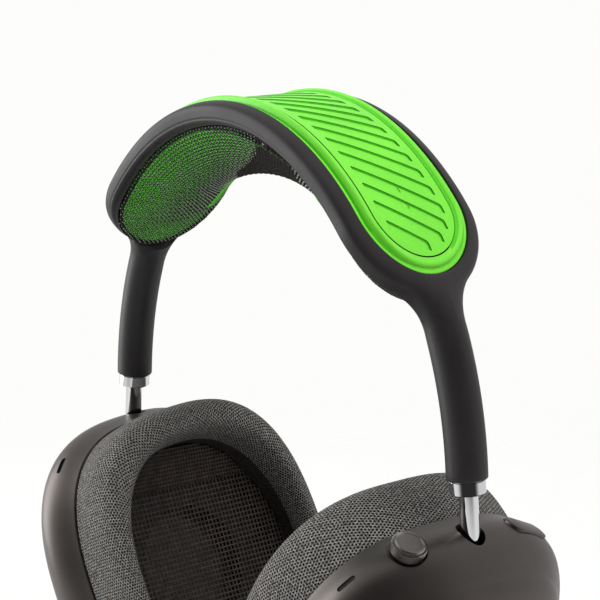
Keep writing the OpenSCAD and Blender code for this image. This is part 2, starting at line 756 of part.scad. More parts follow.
module diaphragm() {
    color("#d9d6cc")
    at_cup() along_u(baffle_back_u + basket_h - 1 - 0.4 - dome_h) translate([cup_v, cup_w, 0])
        difference() {
            cylinder(r1 = driver_r - 3 - 0.1, r2 = driver_r - 3 - 0.1, h = dome_h + 0.4, $fn = 96);
            translate([0, 0, -1]) cylinder(r = driver_r - 4, h = dome_h + 1, $fn = 96);
        }
}

module baffle_screws() {
    color("#9a9c9f")
    at_cup() for (p = POSTS) along_u(-seam_u) translate([p[0], p[1], 0]) {
        cylinder(r = screw_r - fit_gap, h = 8, $fn = 24);
        translate([0, 0, -0.25]) cylinder(r = 1.7, h = 0.35, $fn = 24);
    }
}

// ---- cushion ----

module cushion_plate() {
    color("#2a2a2c")
    at_cup() difference() {
        along_u(cushion_u) linear_extrude(height = plate_t)
            polygon(outline(cup_half_v - 1.2, cup_half_w - 1.2, cup_square, ring_steps));
        along_u(cushion_u - 1) linear_extrude(height = plate_t + 2)
            polygon(outline(well_half_v, well_half_w, 2.3, ring_steps));
    }
}

// Section of the ring: out over the crown from the seam side to the well
cushion_points = 15;
cushion_square = 2.67;
function cushion_pt(a, t) =
    let (c = cos(t), x = sign(c) * pow(abs(c), 2 / cushion_square), h = pow(abs(sin(t)), 2 / cushion_square),
         o = super_pt(a, cup_half_v - 0.4, cup_half_w - 0.4, cup_square),
         i = super_pt(a, well_half_v, well_half_w, 2.3),
         p = mix(o, i, (1 - x) / 2) + o / norm(o) * cushion_bulge * h * max(x, 0))
    [cushion_u - cushion_h * h, cup_v + p[0], cup_w + p[1]];

module cushion() {
    color("#5d5a5b")
    at_cup() loft([for (i = [0 : ring_steps - 1])
        [for (k = [0 : cushion_points]) cushion_pt(360 * i / ring_steps, 180 * k / cushion_points)]],
        loop = true);
}

// Open mesh across the foot of the well, held inside the plate
module acoustic_liner() {
    color("#4a4342")
    at_cup() along_u(cushion_u + 0.3) linear_extrude(height = 0.6)
        polygon(outline(well_half_v - 0.1, well_half_w - 0.1, 2.3, ring_steps));
}

// ---- controls ----

module at_crown() {
    translate([control_u, -crown_back, crown_seat_w]) children();
}

knurl_count = 36;
module crown_knob() {
    color("#6c6a6a")
    at_cup() at_crown() {
        difference() {
            translate([0, 0, 0.2 + press_travel]) cylinder(r = crown_r, h = crown_h, $fn = 96);
            for (i = [0 : knurl_count - 1]) rotate([0, 0, 360 * i / knurl_count])
                translate([crown_r + 0.12, 0, 1.5 + press_travel])
                    cylinder(r = 0.3, h = crown_h, $fn = 16);
        }
        translate([0, 0, -crown_shaft_len]) cylinder(r = crown_shaft_r, h = crown_shaft_len + 1, $fn = 48);
    }
}

module crown_sleeve() {
    color("#c9b06a")
    at_cup() at_crown() translate([0, 0, -crown_shaft_len + 1])
        ring_of(sleeve_r, crown_shaft_r + fit_gap, sleeve_len);
}

// The bush stands on a tongue from the baffle
module crown_bush() {
    color("#45464a")
    at_cup() at_crown() difference() {
        union() {
            translate([0, 0, -crown_shaft_len + 1]) cylinder(r = sleeve_r + 1.2, h = 7.6, $fn = 48);
            translate([baffle_back_u - control_u, -2, -crown_shaft_len + 1])
                cube([control_u - baffle_back_u, 4, 2]);
        }
        translate([0, 0, -crown_shaft_len - 1]) cylinder(r = sleeve_r + fit_gap, h = 20, $fn = 48);
    }
}

module noise_button() {
    color("#6c6a6a")
    at_cup() intersection() {
        at_button() translate([0, 0, button_proud - button_depth])
            pill(button_r, button_half_l, button_depth);
        shell_envelope(button_proud);
    }
}

// A switch on a tongue that stands on the baffle
module button_switch() {
    color("#2f6b3c")
    at_cup() at_button() {
        translate([-2, -3, -button_depth + button_proud - press_travel - 0.3 - 2]) cube([4, 6, 2]);
        translate([baffle_back_u - control_u, -3, -button_depth + button_proud - press_travel - 3.3])
            cube([control_u - baffle_back_u + 2, 6, 1]);
    }
}

// ---- electronics ----

module circuit_board(half_v, half_w) {
    color("#1f5a38")
    at_cup() along_u(magnet_back_u) translate([cup_v - half_v, cup_w - half_w, 0])
        cube([2 * half_v, 2 * half_w, board_t]);
}

module battery_cells() {
    color("#b8babd")
    left() at_cup() along_u(magnet_back_u + board_t) for (side = [-1, 1])
        translate([cup_v + side * 11 - 10, cup_w - 22, 0]) cube([20, 44, 4]);
}

module charging_port() {
    color("#c4c6c9")
    at_cup() difference() {
        union() {
            translate([port_u, cup_v, port_w + 1.2]) pill(port_r - 0.15, port_half_l, 7);
            translate([baffle_back_u, cup_v - 3, port_w + 5.4])
                cube([port_u - baffle_back_u, 6, 2.6]);
        }
        translate([port_u, cup_v, port_w]) pill(port_r - 0.45, port_half_l, 7);
    }
}

// A fine screen behind the microphone slot
module mic_screen() {
    color("#1b1b1c")
    at_cup() mic_cut(1.1, 0.5, -0.1);
}

headband_frame();
arm_tube();  // right_arm_tube
left() arm_tube();  // left_arm_tube
canopy_hoop();
canopy();
silicone_cover();
collar();  // right_collar
left() collar();  // left_collar
guide_bush();  // right_guide_bush
left() guide_bush();  // left_guide_bush
stem();  // right_stem
left() stem();  // left_stem
stem_glide();  // right_stem_glide
left() stem_glide();  // left_stem_glide
yoke();  // right_yoke
left() yoke();  // left_yoke
stem_clip();  // right_stem_clip
left() stem_clip();  // left_stem_clip
tilt_pin();  // right_tilt_pin
left() tilt_pin();  // left_tilt_pin
hinge_bracket();  // right_hinge_bracket
left() hinge_bracket();  // left_hinge_bracket
tilt_spring();  // right_tilt_spring
left() tilt_spring();  // left_tilt_spring
right_shell();
left_shell();
baffle();  // right_baffle
left() baffle();  // left_baffle
driver_basket();  // right_driver_basket
left() driver_basket();  // left_driver_basket
driver_magnet();  // right_driver_magnet
left() driver_magnet();  // left_driver_magnet
diaphragm();  // right_diaphragm
left() diaphragm();  // left_diaphragm
baffle_screws();  // right_baffle_screws
left() baffle_screws();  // left_baffle_screws
cushion_plate();  // right_cushion_plate
left() cushion_plate();  // left_cushion_plate
cushion();  // right_cushion
left() cushion();  // left_cushion
acoustic_liner();  // right_acoustic_liner
left() acoustic_liner();  // left_acoustic_liner
crown_knob();
crown_sleeve();
crown_bush();
noise_button();
button_switch();
circuit_board(24, 24);  // right_circuit_board
left() circuit_board(22, 26);  // left_circuit_board
battery_cells();
charging_port();
mic_screen();  // right_mic_screen
left() mic_screen();  // left_mic_screen
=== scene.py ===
"""Looks of an over-ear headset: oval soft-touch headband with a knit canopy and a green
silicone cover, chrome stems, blasted aluminium cups and knit cushions.
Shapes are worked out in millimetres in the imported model's frame and written in metres."""

import math

import bmesh
import bpy
import numpy as np
from mathutils import Matrix, Vector


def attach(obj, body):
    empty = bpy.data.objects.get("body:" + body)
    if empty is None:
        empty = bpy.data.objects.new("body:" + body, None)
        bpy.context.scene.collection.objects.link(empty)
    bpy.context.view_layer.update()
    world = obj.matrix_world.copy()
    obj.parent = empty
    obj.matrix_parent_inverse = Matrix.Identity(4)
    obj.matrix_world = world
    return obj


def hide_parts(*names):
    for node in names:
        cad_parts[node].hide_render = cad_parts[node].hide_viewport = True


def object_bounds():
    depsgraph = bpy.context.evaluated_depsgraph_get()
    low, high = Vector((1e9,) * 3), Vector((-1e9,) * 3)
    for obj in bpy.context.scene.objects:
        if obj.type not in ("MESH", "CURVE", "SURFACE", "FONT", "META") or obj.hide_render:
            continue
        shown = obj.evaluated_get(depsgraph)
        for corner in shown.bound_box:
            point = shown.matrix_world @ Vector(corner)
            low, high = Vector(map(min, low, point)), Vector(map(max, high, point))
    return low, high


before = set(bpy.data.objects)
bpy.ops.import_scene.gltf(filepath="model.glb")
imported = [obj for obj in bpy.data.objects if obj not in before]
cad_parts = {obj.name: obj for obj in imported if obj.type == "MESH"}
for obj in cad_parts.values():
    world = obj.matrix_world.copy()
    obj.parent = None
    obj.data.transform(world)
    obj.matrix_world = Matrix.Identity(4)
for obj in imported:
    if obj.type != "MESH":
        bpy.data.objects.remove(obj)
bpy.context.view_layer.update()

# ---------------------------------------------------------------- sizes, as in the part's source

# Millimetres and degrees. S runs along the headband's arch from the crown. U, V and W are a cup's
# own axes: out from the ear, to the front, and up.
ARCH_HALF_W, ARCH_RISE, ARM_END_Z = 68, 89, 6.3
OVAL_HALF_W, OVAL_END_S, WAIST_R = 20.8, 53.1, 12.3
RAIL_TOP, RAIL_BOTTOM, LEDGE_W, LEDGE_Z, LEDGE_T = 4.1, 2.4, 1.7, 2.2, 1.2
POCKET_HALF_W, POCKET_END_S, ARM_R = 16.9, 51.9, 5.1
CANOPY_HALF_W, CANOPY_END_S, CANOPY_SAG, CANOPY_T, HOOP_R = 18.5, 55.5, 13, 0.8, 0.7
COVER_HALF_W, COVER_T, PANEL_RISE = 16.75, 1.0, 0.7
GROOVE_PITCH, GROOVE_HALF_Y, GROOVE_ANGLE = 5.15, 10.0, 35
STEM_R, STEM_LEAN, COLLAR_H, COLLAR_R, PIN_DROP = 2.4, 6, 3.5, 4.45, 20
STEM_OUT, STEM_IN, SPIGOT_LEN, BUSH_LEN, GLIDE_LEN = 14, 5, 1.6, 5, 2.5
BUSH_R, GLIDE_BORE_R, NECK_R, CLIP_T = 3.4, 2.6, 1.5, 0.7
YOKE_PLATE_Z, YOKE_PLATE_T, FIT_GAP = 2.4, 2, 0.05
CUP_TILT, CUP_YAW, CUP_HALF_V, CUP_HALF_W, CUP_SQUARE = 26, -7.5, 38.4, 46, 2.68
CUP_BACK, CUP_DROP, SEAM_U, SHELL_DEPTH, SHELL_BULGE = 3.9, 39.7, 13.35, 26.7, 3.1
SHELL_CLOSE, SHELL_WALL = 4.43, 1.5
CUSHION_U, CUSHION_H, CUSHION_BULGE, CUSHION_SQUARE = -14.9, 17, 1.5, 2.67
WELL_HALF_V, WELL_HALF_W = 30, 35
CONTROL_U, CROWN_BACK, CROWN_R, CROWN_H = -5.8, 18.3, 4.5, 3.3
CROWN_BORE, CROWN_SHAFT_R, CROWN_SHAFT_LEN = 1.7, 1.5, 9
BUTTON_HALF_L, BUTTON_R, BUTTON_FRONT, BUTTON_PROUD, PRESS = 4.5, 3.0, 19.5, 0.9, 0.5
MIC_U, MIC_V, MIC_HALF_L, MIC_R = -7, -33, 1.9, 0.75
PORT_U, PORT_HALF_L, PORT_R = -6, 3, 1.6
TILT_IN, TILT_OUT = 2.5, 3
SLOT_GAP = 0.8

HOOP_OFF = -RAIL_BOTTOM - HOOP_R - 0.05
ARCH_BASE_Z = -(HOOP_OFF - CANOPY_T / 2 - CANOPY_SAG) - ARCH_RISE
WAIST_Y = ARM_R + WAIST_R
WAIST_A = math.degrees(math.asin(WAIST_Y / (OVAL_HALF_W + WAIST_R)))
WAIST_S = OVAL_END_S + (OVAL_HALF_W + WAIST_R) * math.cos(math.radians(WAIST_A))
NECK_S = WAIST_S + 3
CUP_V, CUP_W = -CUP_BACK, -CUP_DROP
BUSH_TOP = SPIGOT_LEN + BUSH_LEN
STEM_TOP = BUSH_TOP + GLIDE_LEN + STEM_OUT + 0.3
BORE_TOP = STEM_TOP + STEM_IN + 0.3
COVER_SEAT = LEDGE_Z + 0.05
PANEL_TOP = COVER_SEAT + COVER_T + PANEL_RISE

# ---------------------------------------------------------------- the arch

_degrees = np.arange(0, 92.01, 0.05)
_speed = np.hypot(ARCH_HALF_W * np.cos(np.radians(_degrees[:-1] + 0.025)),
                  ARCH_RISE * np.sin(np.radians(_degrees[:-1] + 0.025))) * math.radians(0.05)
_length = np.concatenate([[0], np.cumsum(_speed)])


def arch_angle(s):
    return np.radians(np.sign(s) * np.interp(np.abs(s), _length, _degrees))


def on_arch(s, y, off):
    """Points at arc length s from the crown, y to the front, off outwards from the arch."""
    s, y, off = np.broadcast_arrays(*(np.asarray(q, float) for q in (s, y, off)))
    a = arch_angle(s)
    n = np.stack([ARCH_RISE * np.sin(a), ARCH_HALF_W * np.cos(a)], -1)
    n /= np.linalg.norm(n, axis=-1, keepdims=True)
    return np.stack([ARCH_HALF_W * np.sin(a) + off * n[..., 0], y,
                     ARCH_BASE_Z + ARCH_RISE * np.cos(a) + off * n[..., 1]], -1)


ARM_END_TURN = math.radians(STEM_LEAN) - math.atan(
    ARCH_HALF_W / ARCH_RISE / math.tan(math.acos(ARM_END_Z / ARCH_RISE)))
ARM_END_S = float(np.interp(math.degrees(math.acos(ARM_END_Z / ARCH_RISE)), _degrees, _length))


def mix(a, b, t):
    return a + (b - a) * t


def ease(t):
    c = np.clip(t, 0, 1)
    return c * c * (3 - 2 * c)


# Frames of the right-hand stem and cup; the left-hand ones are their mirror image
AT_ARM = Matrix.Translation(Vector(on_arch(ARM_END_S, 0, 0))) @ Matrix.Rotation(
    math.radians(-STEM_LEAN), 4, "Y")
AT_YOKE = AT_ARM @ Matrix.Translation((0, 0, -COLLAR_H - PIN_DROP)) @ Matrix.Rotation(
    math.radians(CUP_YAW), 4, "Z")
AT_CUP = AT_YOKE @ Matrix.Rotation(math.radians(STEM_LEAN + CUP_TILT), 4, "Y")


def placed(points, place):
    m = np.array(place)
    return np.asarray(points, float) @ m[:3, :3].T + m[:3, 3]


# ---------------------------------------------------------------- meshes

def piece(name, points, faces, materials, index=None, uv=None, sharp=38, weld=None):
    """A mesh piece from points in millimetres. uv gives a pair for each corner of each face, and
    weld the distance in metres under which points are merged."""
    mesh = bpy.data.meshes.new(name)
    mesh.from_pydata((np.asarray(points, float) * 0.001).tolist(), [], [list(map(int, f)) for f in faces])
    for m in materials:
        mesh.materials.append(m)
    if index is not None:
        mesh.polygons.foreach_set("material_index", np.asarray(index, np.int32))
    if uv is not None:
        layer = mesh.uv_layers.new(name="weave")
        layer.data.foreach_set("uv", np.asarray(uv, np.float32).ravel())
    mesh.validate()
    mesh.update()
    if weld:
        bm = bmesh.new()
        bm.from_mesh(mesh)
        bmesh.ops.remove_doubles(bm, verts=bm.verts, dist=weld)
        bmesh.ops.recalc_face_normals(bm, faces=bm.faces)
        bm.to_mesh(mesh)
        bm.free()
    smooth(mesh, sharp)
    return link(name, mesh)


def link(name, data):
    """A new object of the scene round its data."""
    obj = bpy.data.objects.new(name, data)
    bpy.context.scene.collection.objects.link(obj)
    return obj


def smooth(mesh, sharp):
    mesh.shade_smooth()
    mesh.set_sharp_from_angle(angle=math.radians(sharp))


def mirrored(points, faces):
    return np.asarray(points, float) * [-1, 1, 1], [tuple(reversed(f)) for f in faces]


def sided(side, points, faces):
    return (points, faces) if side == "right" else mirrored(points, faces)


def grid(rows, cols, loop_rows=False, loop_cols=False):
    """Quads over a grid of rows x cols points, closed on itself where asked."""
    r = np.arange(rows if loop_rows else rows - 1)[:, None]
    c = np.arange(cols if loop_cols else cols - 1)[None, :]
    r2, c2 = (r + 1) % rows, (c + 1) % cols
    quads = np.stack([r * cols + c, r * cols + c2, r2 * cols + c2, r2 * cols + c], -1)
    return quads.reshape(-1, 4)


def bridge(last, new):
    """Quads from one closed ring of point numbers to the next."""
    return [[a, b, d, c] for a, b, c, d in zip(last, last[1:] + last[:1], new, new[1:] + new[:1])]


def settle(obj, sharp=38):
    """Applies the object's modifiers, leaving a plain mesh."""
    depsgraph = bpy.context.evaluated_depsgraph_get()
    mesh = bpy.data.meshes.new_from_object(obj.evaluated_get(depsgraph))
    obj.modifiers.clear()
    obj.data = mesh
    smooth(mesh, sharp)
    return obj


def carve(obj, cutters, sharp=38, operation="DIFFERENCE"):
    """Cuts other objects out of one, or keeps what they share, and removes them."""
    for cutter in cutters:
        cut = obj.modifiers.new("cut", "BOOLEAN")
        cut.operation, cut.solver, cut.object = operation, "EXACT", cutter
    settle(obj, sharp)
    for cutter in cutters:
        bpy.data.objects.remove(cutter)
    return obj


def lathe(name, profile, place, side, materials, steps=96, closed=False, sharp=30):
    """Turns a profile of (radius, height) round the Z axis of a frame; ends on the axis close."""
    rows = len(profile)
    a = np.linspace(0, 2 * np.pi, steps, endpoint=False)
    pts = np.array([[r * np.cos(t), r * np.sin(t), z] for t in a for r, z in profile])
    faces = grid(steps, rows, loop_rows=True, loop_cols=closed)
    pts, faces = sided(side, placed(pts, place), faces.tolist())
    return piece(name, pts, faces, materials, sharp=sharp, weld=1e-6)


def four_quarters(n):
    """Steps (j, sign of s, sign of y) once round a closed outline whose first quarter has n steps."""
    return ([(j, 1, 1) for j in range(n + 1)] + [(j, 1, -1) for j in range(n - 1, -1, -1)]
            + [(j, -1, -1) for j in range(1, n + 1)] + [(j, -1, 1) for j in range(n - 1, 0, -1)])


def node_group(name, sockets):
    """A geometry tree with its inputs declared, as (tree, the outputs of its input node)."""
    tree = bpy.data.node_groups.new(name, "GeometryNodeTree")
    for label, kind in (("Geometry", "Geometry"),) + sockets:
        tree.interface.new_socket(label, in_out="INPUT", socket_type="NodeSocket" + kind)
    tree.interface.new_socket("Geometry", in_out="OUTPUT", socket_type="NodeSocketGeometry")
    return tree, add(tree, "NodeGroupInput").outputs


# ---------------------------------------------------------------- materials

def linear(code):
    parts = [int(code[i:i + 2], 16) / 255 for i in (1, 3, 5)]
    return tuple(c / 12.92 if c <= 0.04045 else ((c + 0.055) / 1.055) ** 2.4 for c in parts) + (1.0,)


def add(tree, kind, links=None, **settings):
    """Adds a node: links fills its inputs by name or number, with a value or another socket."""
    node = tree.nodes.new(kind)
    for key, value in settings.items():
        setattr(node, key, value)
    for key, value in (links or {}).items():
        if isinstance(value, bpy.types.NodeSocket):
            tree.links.new(value, node.inputs[key])
        else:
            node.inputs[key].default_value = value
    return node


def scalar(tree, operation, *values):
    """The output of a math node."""
    return add(tree, "ShaderNodeMath", dict(enumerate(values)), operation=operation).outputs[0]


def vector(tree, operation, *values):
    """The output of a vector math node, which is a number for a dot product and a length."""
    node = add(tree, "ShaderNodeVectorMath", dict(enumerate(values)), operation=operation)
    return node.outputs[int(operation in ("DOT_PRODUCT", "LENGTH"))]


def span(tree, value, low, high, to_low=0.0, to_high=1.0, kind="LINEAR"):
    """A value with the range from low to high carried over to another range."""
    return add(tree, "ShaderNodeMapRange", {"Value": value, "From Min": low, "From Max": high,
                                            "To Min": to_low, "To Max": to_high},
               interpolation_type=kind).outputs[0]


def local(tree):
    return add(tree, "ShaderNodeTexCoord").outputs["Object"]


def cloth(tree):
    return add(tree, "ShaderNodeUVMap", uv_map="weave").outputs[0]


def noise(tree, place, scale, detail, output="Fac"):
    node = add(tree, "ShaderNodeTexNoise", {"Vector": place, "Scale": scale, "Detail": detail})
    return node.outputs[output]


def feed(tree, shader, colour=None, roughness=None, height=None, depth_mm=0.0):
    """Wires a colour and a roughness into a shader, and a height as bump of depth_mm."""
    if height is not None:
        height = add(tree, "ShaderNodeBump", {"Height": height, "Distance": depth_mm * 0.001,
                                              "Strength": 1.0}).outputs["Normal"]
    for key, source in (("Base Color", colour), ("Roughness", roughness), ("Normal", height)):
        if source is not None:
            tree.links.new(source, shader.inputs[key])


def finish_of(name, colour, roughness, metallic=0.0, **sockets):
    """A named finish with its plain values on the shader's own sockets."""
    material = bpy.data.materials.new(name)
    material.use_nodes = True
    tree = material.node_tree
    shader = tree.nodes["Principled BSDF"]
    shader.inputs["Base Color"].default_value = linear(colour)
    shader.inputs["Roughness"].default_value = roughness
    shader.inputs["Metallic"].default_value = metallic
    for key, value in sockets.items():
        shader.inputs[key.replace("_", " ").title().replace("Ior", "IOR")].default_value = value
    return material, tree, shader


def rgb_mix(tree, factor, a, b):
    """Mixes two colours, each a hex code or a socket."""
    node = add(tree, "ShaderNodeMix", data_type="RGBA")
    inputs = {s.name: s for s in node.inputs if s.type == "RGBA"}
    for key, value in (("A", a), ("B", b)):
        if isinstance(value, str):
            inputs[key].default_value = linear(value)
        else:
            tree.links.new(value, inputs[key])
    tree.links.new(factor, node.inputs[0])
    return next(s for s in node.outputs if s.type == "RGBA")


def grain(tree, shader, size_mm, bump_mm, tones=None, patch_mm=9.0, rough=None, detail=3.0):
    """Fine grain of size_mm as bump, with slow changes of tone and roughness over patch_mm."""
    place = local(tree)
    fine = noise(tree, place, 1000 / size_mm, detail)
    slow = noise(tree, place, 1000 / patch_mm, 2.0)
    feed(tree, shader, height=fine, depth_mm=bump_mm,
         colour=tones and rgb_mix(tree, span(tree, scalar(tree, "ADD", slow, fine), 0.7, 1.3), *tones),
         roughness=rough and span(tree, slow, 0.3, 0.7, *rough))
    return place


def loops(tree, where, pitch_mm):
    """A hexagonal field of knit loops on a coordinate in millimetres: high in a hole, low on the yarn."""
    waves = []
    for angle in (0, 60, 120):
        wave = 2 * math.pi / pitch_mm
        axis = (wave * math.cos(math.radians(angle)), wave * math.sin(math.radians(angle)), 0)
        waves.append(scalar(tree, "COSINE", vector(tree, "DOT_PRODUCT", where, axis)))
    return scalar(tree, "ADD", scalar(tree, "ADD", *waves[:2]), waves[2])


def grained(name, colour, roughness, size_mm, bump_mm, tones=None, patch_mm=9.0, rough=None, detail=3.0,
            metallic=0.0, **sockets):
    """A finish that is one material with one fine grain."""
    material, tree, shader = finish_of(name, colour, roughness, metallic, **sockets)
    grain(tree, shader, size_mm, bump_mm, tones, patch_mm, rough, detail)
    return material


KNIT_PITCH = 0.8        # between the cushion's loops, which are really 0.6 mm apart, so that they show


def cushion_knit():
    # Two-tone polyester jersey over foam: pale yarn with dark holes; its pale specks are partly the yarn's
    # two tones and partly painted sheen
    material, tree, shader = finish_of("two_tone_polyester_jersey", "#4c494a", 0.88, sheen_weight=0.06,
                                       specular_ior_level=0.15)
    place = local(tree)
    wobble = vector(tree, "MULTIPLY", noise(tree, place, 220.0, 1.0, "Color"), (0.5, 0.5, 0))
    field = loops(tree, vector(tree, "ADD", cloth(tree), wobble), KNIT_PITCH)
    hole = span(tree, field, -0.5, 0.9, kind="SMOOTHSTEP")
    # Pale specks on the yarn: partly its two tones, partly painted sheen
    speck = noise(tree, place, 2600.0, 1.0)
    yarn = rgb_mix(tree, span(tree, speck, 0.36, 0.64), "#4c4948", "#a09d99")
    feed(tree, shader, colour=rgb_mix(tree, hole, yarn, "#0d0c0c"), depth_mm=0.22,
         height=scalar(tree, "MULTIPLY_ADD", speck, 0.35, scalar(tree, "SUBTRACT", 1.0, hole)))
    return material


def well_lining():
    # Plain dark tricot that lines the foot of the well: fine ribs, no open holes
    material, tree, shader = finish_of("plain_dark_tricot", "#3c3836", 0.9, specular_ior_level=0.15)
    rib_pitch = 0.7     # mm
    ribs = vector(tree, "DOT_PRODUCT", cloth(tree), (2 * math.pi / rib_pitch, 0, 0))
    wave = scalar(tree, "COSINE", ribs)
    feed(tree, shader, colour=rgb_mix(tree, span(tree, wave, -1.0, 1.0), "#2e2a28", "#443e3a"),
         height=wave, depth_mm=0.06)
    return material


def rolled_steel():
    # Cold-rolled spring steel: grey, streaked along the rolling direction
    material, tree, shader = finish_of("cold_rolled_spring_steel", "#8f9194", 0.32, metallic=1.0)
    stretch = add(tree, "ShaderNodeMapping", {"Vector": local(tree), "Scale": (300.0, 6000.0, 300.0)})
    streak = noise(tree, stretch.outputs[0], 1.0, 2.0)
    feed(tree, shader, colour=rgb_mix(tree, span(tree, streak, 0.3, 0.7), "#84868a", "#9a9ca0"),
         roughness=span(tree, streak, 0.0, 1.0, 0.26, 0.4))
    return material


def solder_mask():
    # Epoxy board under green solder mask, with the copper tracks showing faintly through
    material, tree, shader = finish_of("green_solder_mask", "#1f5a38", 0.35)
    brick = add(tree, "ShaderNodeTexBrick", {"Vector": local(tree), "Scale": 420.0, "Mortar Size": 0.03,
                                             "Color1": linear("#1d5534"), "Color2": linear("#24633d"),
                                             "Mortar": linear("#2f7a48")})
    feed(tree, shader, colour=brick.outputs["Color"])
    return material


def floor_paper():
    # Matt white paper, fading out with distance so that no horizon shows behind the object
    material, tree, shader = finish_of("matt_white_paper", "#f6f6f4", 0.95, specular_ior_level=0.1)
    place = grain(tree, shader, 2.0, 0.02, ("#f3f3f1", "#f8f8f6"), patch_mm=60)
    far = vector(tree, "LENGTH", vector(tree, "MULTIPLY", place, (1, 1, 0)))
    blend = add(tree, "ShaderNodeMixShader", {
        0: span(tree, far, 0.12, 0.42, kind="SMOOTHSTEP"), 1: shader.outputs[0],
        2: add(tree, "ShaderNodeBsdfTransparent").outputs[0]})
    tree.links.new(blend.outputs[0], tree.nodes["Material Output"].inputs["Surface"])
    return material


# Soft-touch lacquer sprayed on moulded nylon: no gloss, a velvety highlight and a very fine grain
SOFT_TOUCH = grained("soft_touch_lacquer_on_nylon", "#2a2728", 0.5, 0.35, 0.012, ("#262324", "#2e2b2c"),
                     patch_mm=14, rough=(0.46, 0.54), specular_ior_level=0.3)
# Moulded lime silicone: satin, a little light passes through the skin, faint flow marks
SILICONE = grained("moulded_lime_silicone", "#7ce83e", 0.38, 0.5, 0.006, ("#75e239", "#83ee45"),
                   patch_mm=16, rough=(0.34, 0.43), subsurface_weight=0.12, subsurface_scale=0.001,
                   subsurface_radius=(0.4, 1.0, 0.2), specular_ior_level=0.35)
# Painted shade: the walls and valleys of the moulding, where the silicone sees little light, are coloured a
# deeper green so that they read deeper
SILICONE_PAINTED_SHADE = grained("lime_silicone_painted_shade", "#5acc2a", 0.5, 0.5, 0.006, ("#54c426", "#60d42e"),
                        patch_mm=12, specular_ior_level=0.3)
# Painted shadow: the sharp parting step round each groove and round the panel is coloured near-black, so that
# it reads as a dark line
SILICONE_PAINTED_SHADOW = grained("silicone_step_painted_shadow", "#123d0a", 0.6, 0.4, 0.01, ("#0f3408", "#174510"),
                        specular_ior_level=0.2)
# Charcoal polyester yarn knitted into an open net, dull, a little lighter where fibres stand off
CANOPY_YARN = grained("charcoal_polyester_net_yarn", "#2e2c2b", 0.85, 0.18, 0.02, ("#211f1f", "#45413f"),
                      patch_mm=1.2, specular_ior_level=0.2)
# Painted highlight: pale knots where the yarns of the net cross, standing in for the light that the yarn
# catches
KNOT_PAINTED_HIGHLIGHT = grained("knot_painted_highlight", "#a9b3a2", 0.8, 0.15, 0.02, ("#8e988a", "#c4ccbc"),
                    patch_mm=1.5, sheen_weight=0.2)
# Lime elastic lining behind the net: satin jersey, brighter along its ribs
LINING_CLOTH = grained("lime_elastic_lining", "#74f24a", 0.7, 0.3, 0.02, ("#66e63c", "#82fa58"),
                       patch_mm=5, specular_ior_level=0.2)
# The lining's turned hem, two layers stitched flat: the same elastic, closer and a deeper green
HEM_CLOTH = grained("stitched_lime_hem", "#3f8f1e", 0.75, 0.3, 0.03, ("#357c18", "#4aa026"),
                    patch_mm=3, specular_ior_level=0.2)
# Partly painted shade: a charcoal band that joins the two lime halves of the lining, standing in for the net
# over the crown seen edge-on and in shade; dull, with a brown cast
CANOPY_LINING_PAINTED_SHADE = grained("charcoal_lining_painted_shade", "#2c2826", 0.9, 0.45, 0.03, ("#1e1b1a", "#3a3432"),
                      patch_mm=4, specular_ior_level=0.15)
# Black woven tape bound over the canopy's hoop: dull, its threads just showing
BINDING = grained("black_woven_binding", "#1d1c1e", 0.9, 0.3, 0.03, ("#191819", "#322f30"),
                  patch_mm=1.5, specular_ior_level=0.15)
# Warm grey monofilament of the acoustic mesh: dull, slightly uneven
MESH_YARN = grained("warm_grey_acoustic_mesh", "#463f3d", 0.85, 0.25, 0.02, ("#38322f", "#554c48"),
                    patch_mm=3, specular_ior_level=0.15)
# Anodised aluminium, bead-blasted: broad soft highlights over a fine frosted grain
ALUMINIUM = grained("anodised_bead_blasted_aluminium", "#57524f", 0.42, 0.22, 0.006,
                    ("#514c4a", "#5e5956"), patch_mm=20, rough=(0.39, 0.45), metallic=0.85)
# The crown's face, cut flat on a lathe: smoother and paler than the blasted skin
FACED_ALUMINIUM = grained("faced_aluminium", "#8e8a87", 0.34, 0.3, 0.004, ("#86827f", "#969290"),
                          patch_mm=4, rough=(0.3, 0.38), metallic=0.95)
# The crown's ridges, turned bright before anodising, so that they glint against its face
BRIGHT_ALUMINIUM = grained("turned_aluminium", "#a09c9a", 0.25, 0.3, 0.004, ("#8c8886", "#b0acaa"),
                           patch_mm=2, rough=(0.2, 0.3), metallic=1.0)
# Polished and chromed steel: mirror-bright, with the faintest marks of the buffing wheel
CHROME = grained("polished_chromed_steel", "#dcdcde", 0.05, 1.2, 0.0006, patch_mm=6,
                 rough=(0.035, 0.07), metallic=1.0)
# Moulded ABS with the fine spark-eroded texture of its tool: dull black
BLACK_ABS = grained("moulded_black_abs", "#232325", 0.5, 0.4, 0.015, ("#1e1e20", "#29292b"),
                    patch_mm=10, rough=(0.45, 0.56))
# Painted shade: the same moulding, darker, inside the slots where next to no light reaches it, and on the
# walls cut through the shell
SLOT_PAINTED_SHADE = grained("slot_painted_shade", "#0c0c0d", 0.6, 0.4, 0.015, ("#090909", "#111112"),
                     patch_mm=10, rough=(0.55, 0.66))
# Steel blackened in a hot bath, so that the hinge stays dark inside the slot
BLACK_STEEL = grained("black_oxide_steel", "#1c1c1e", 0.42, 0.5, 0.006, ("#161618", "#252528"),
                      patch_mm=5, rough=(0.36, 0.5), metallic=0.9)
# Natural acetal, moulded: milky white and slippery
ACETAL = grained("natural_acetal", "#e8e6df", 0.3, 0.6, 0.004, ("#e2e0d8", "#eeece6"),
                 patch_mm=6, rough=(0.26, 0.34))
# Nickel-plated neodymium: bright and slightly pitted
MAGNET = grained("nickel_plated_magnet", "#8a8c90", 0.24, 0.5, 0.004, ("#808286", "#94969a"),
                 patch_mm=5, rough=(0.2, 0.32), metallic=1.0)
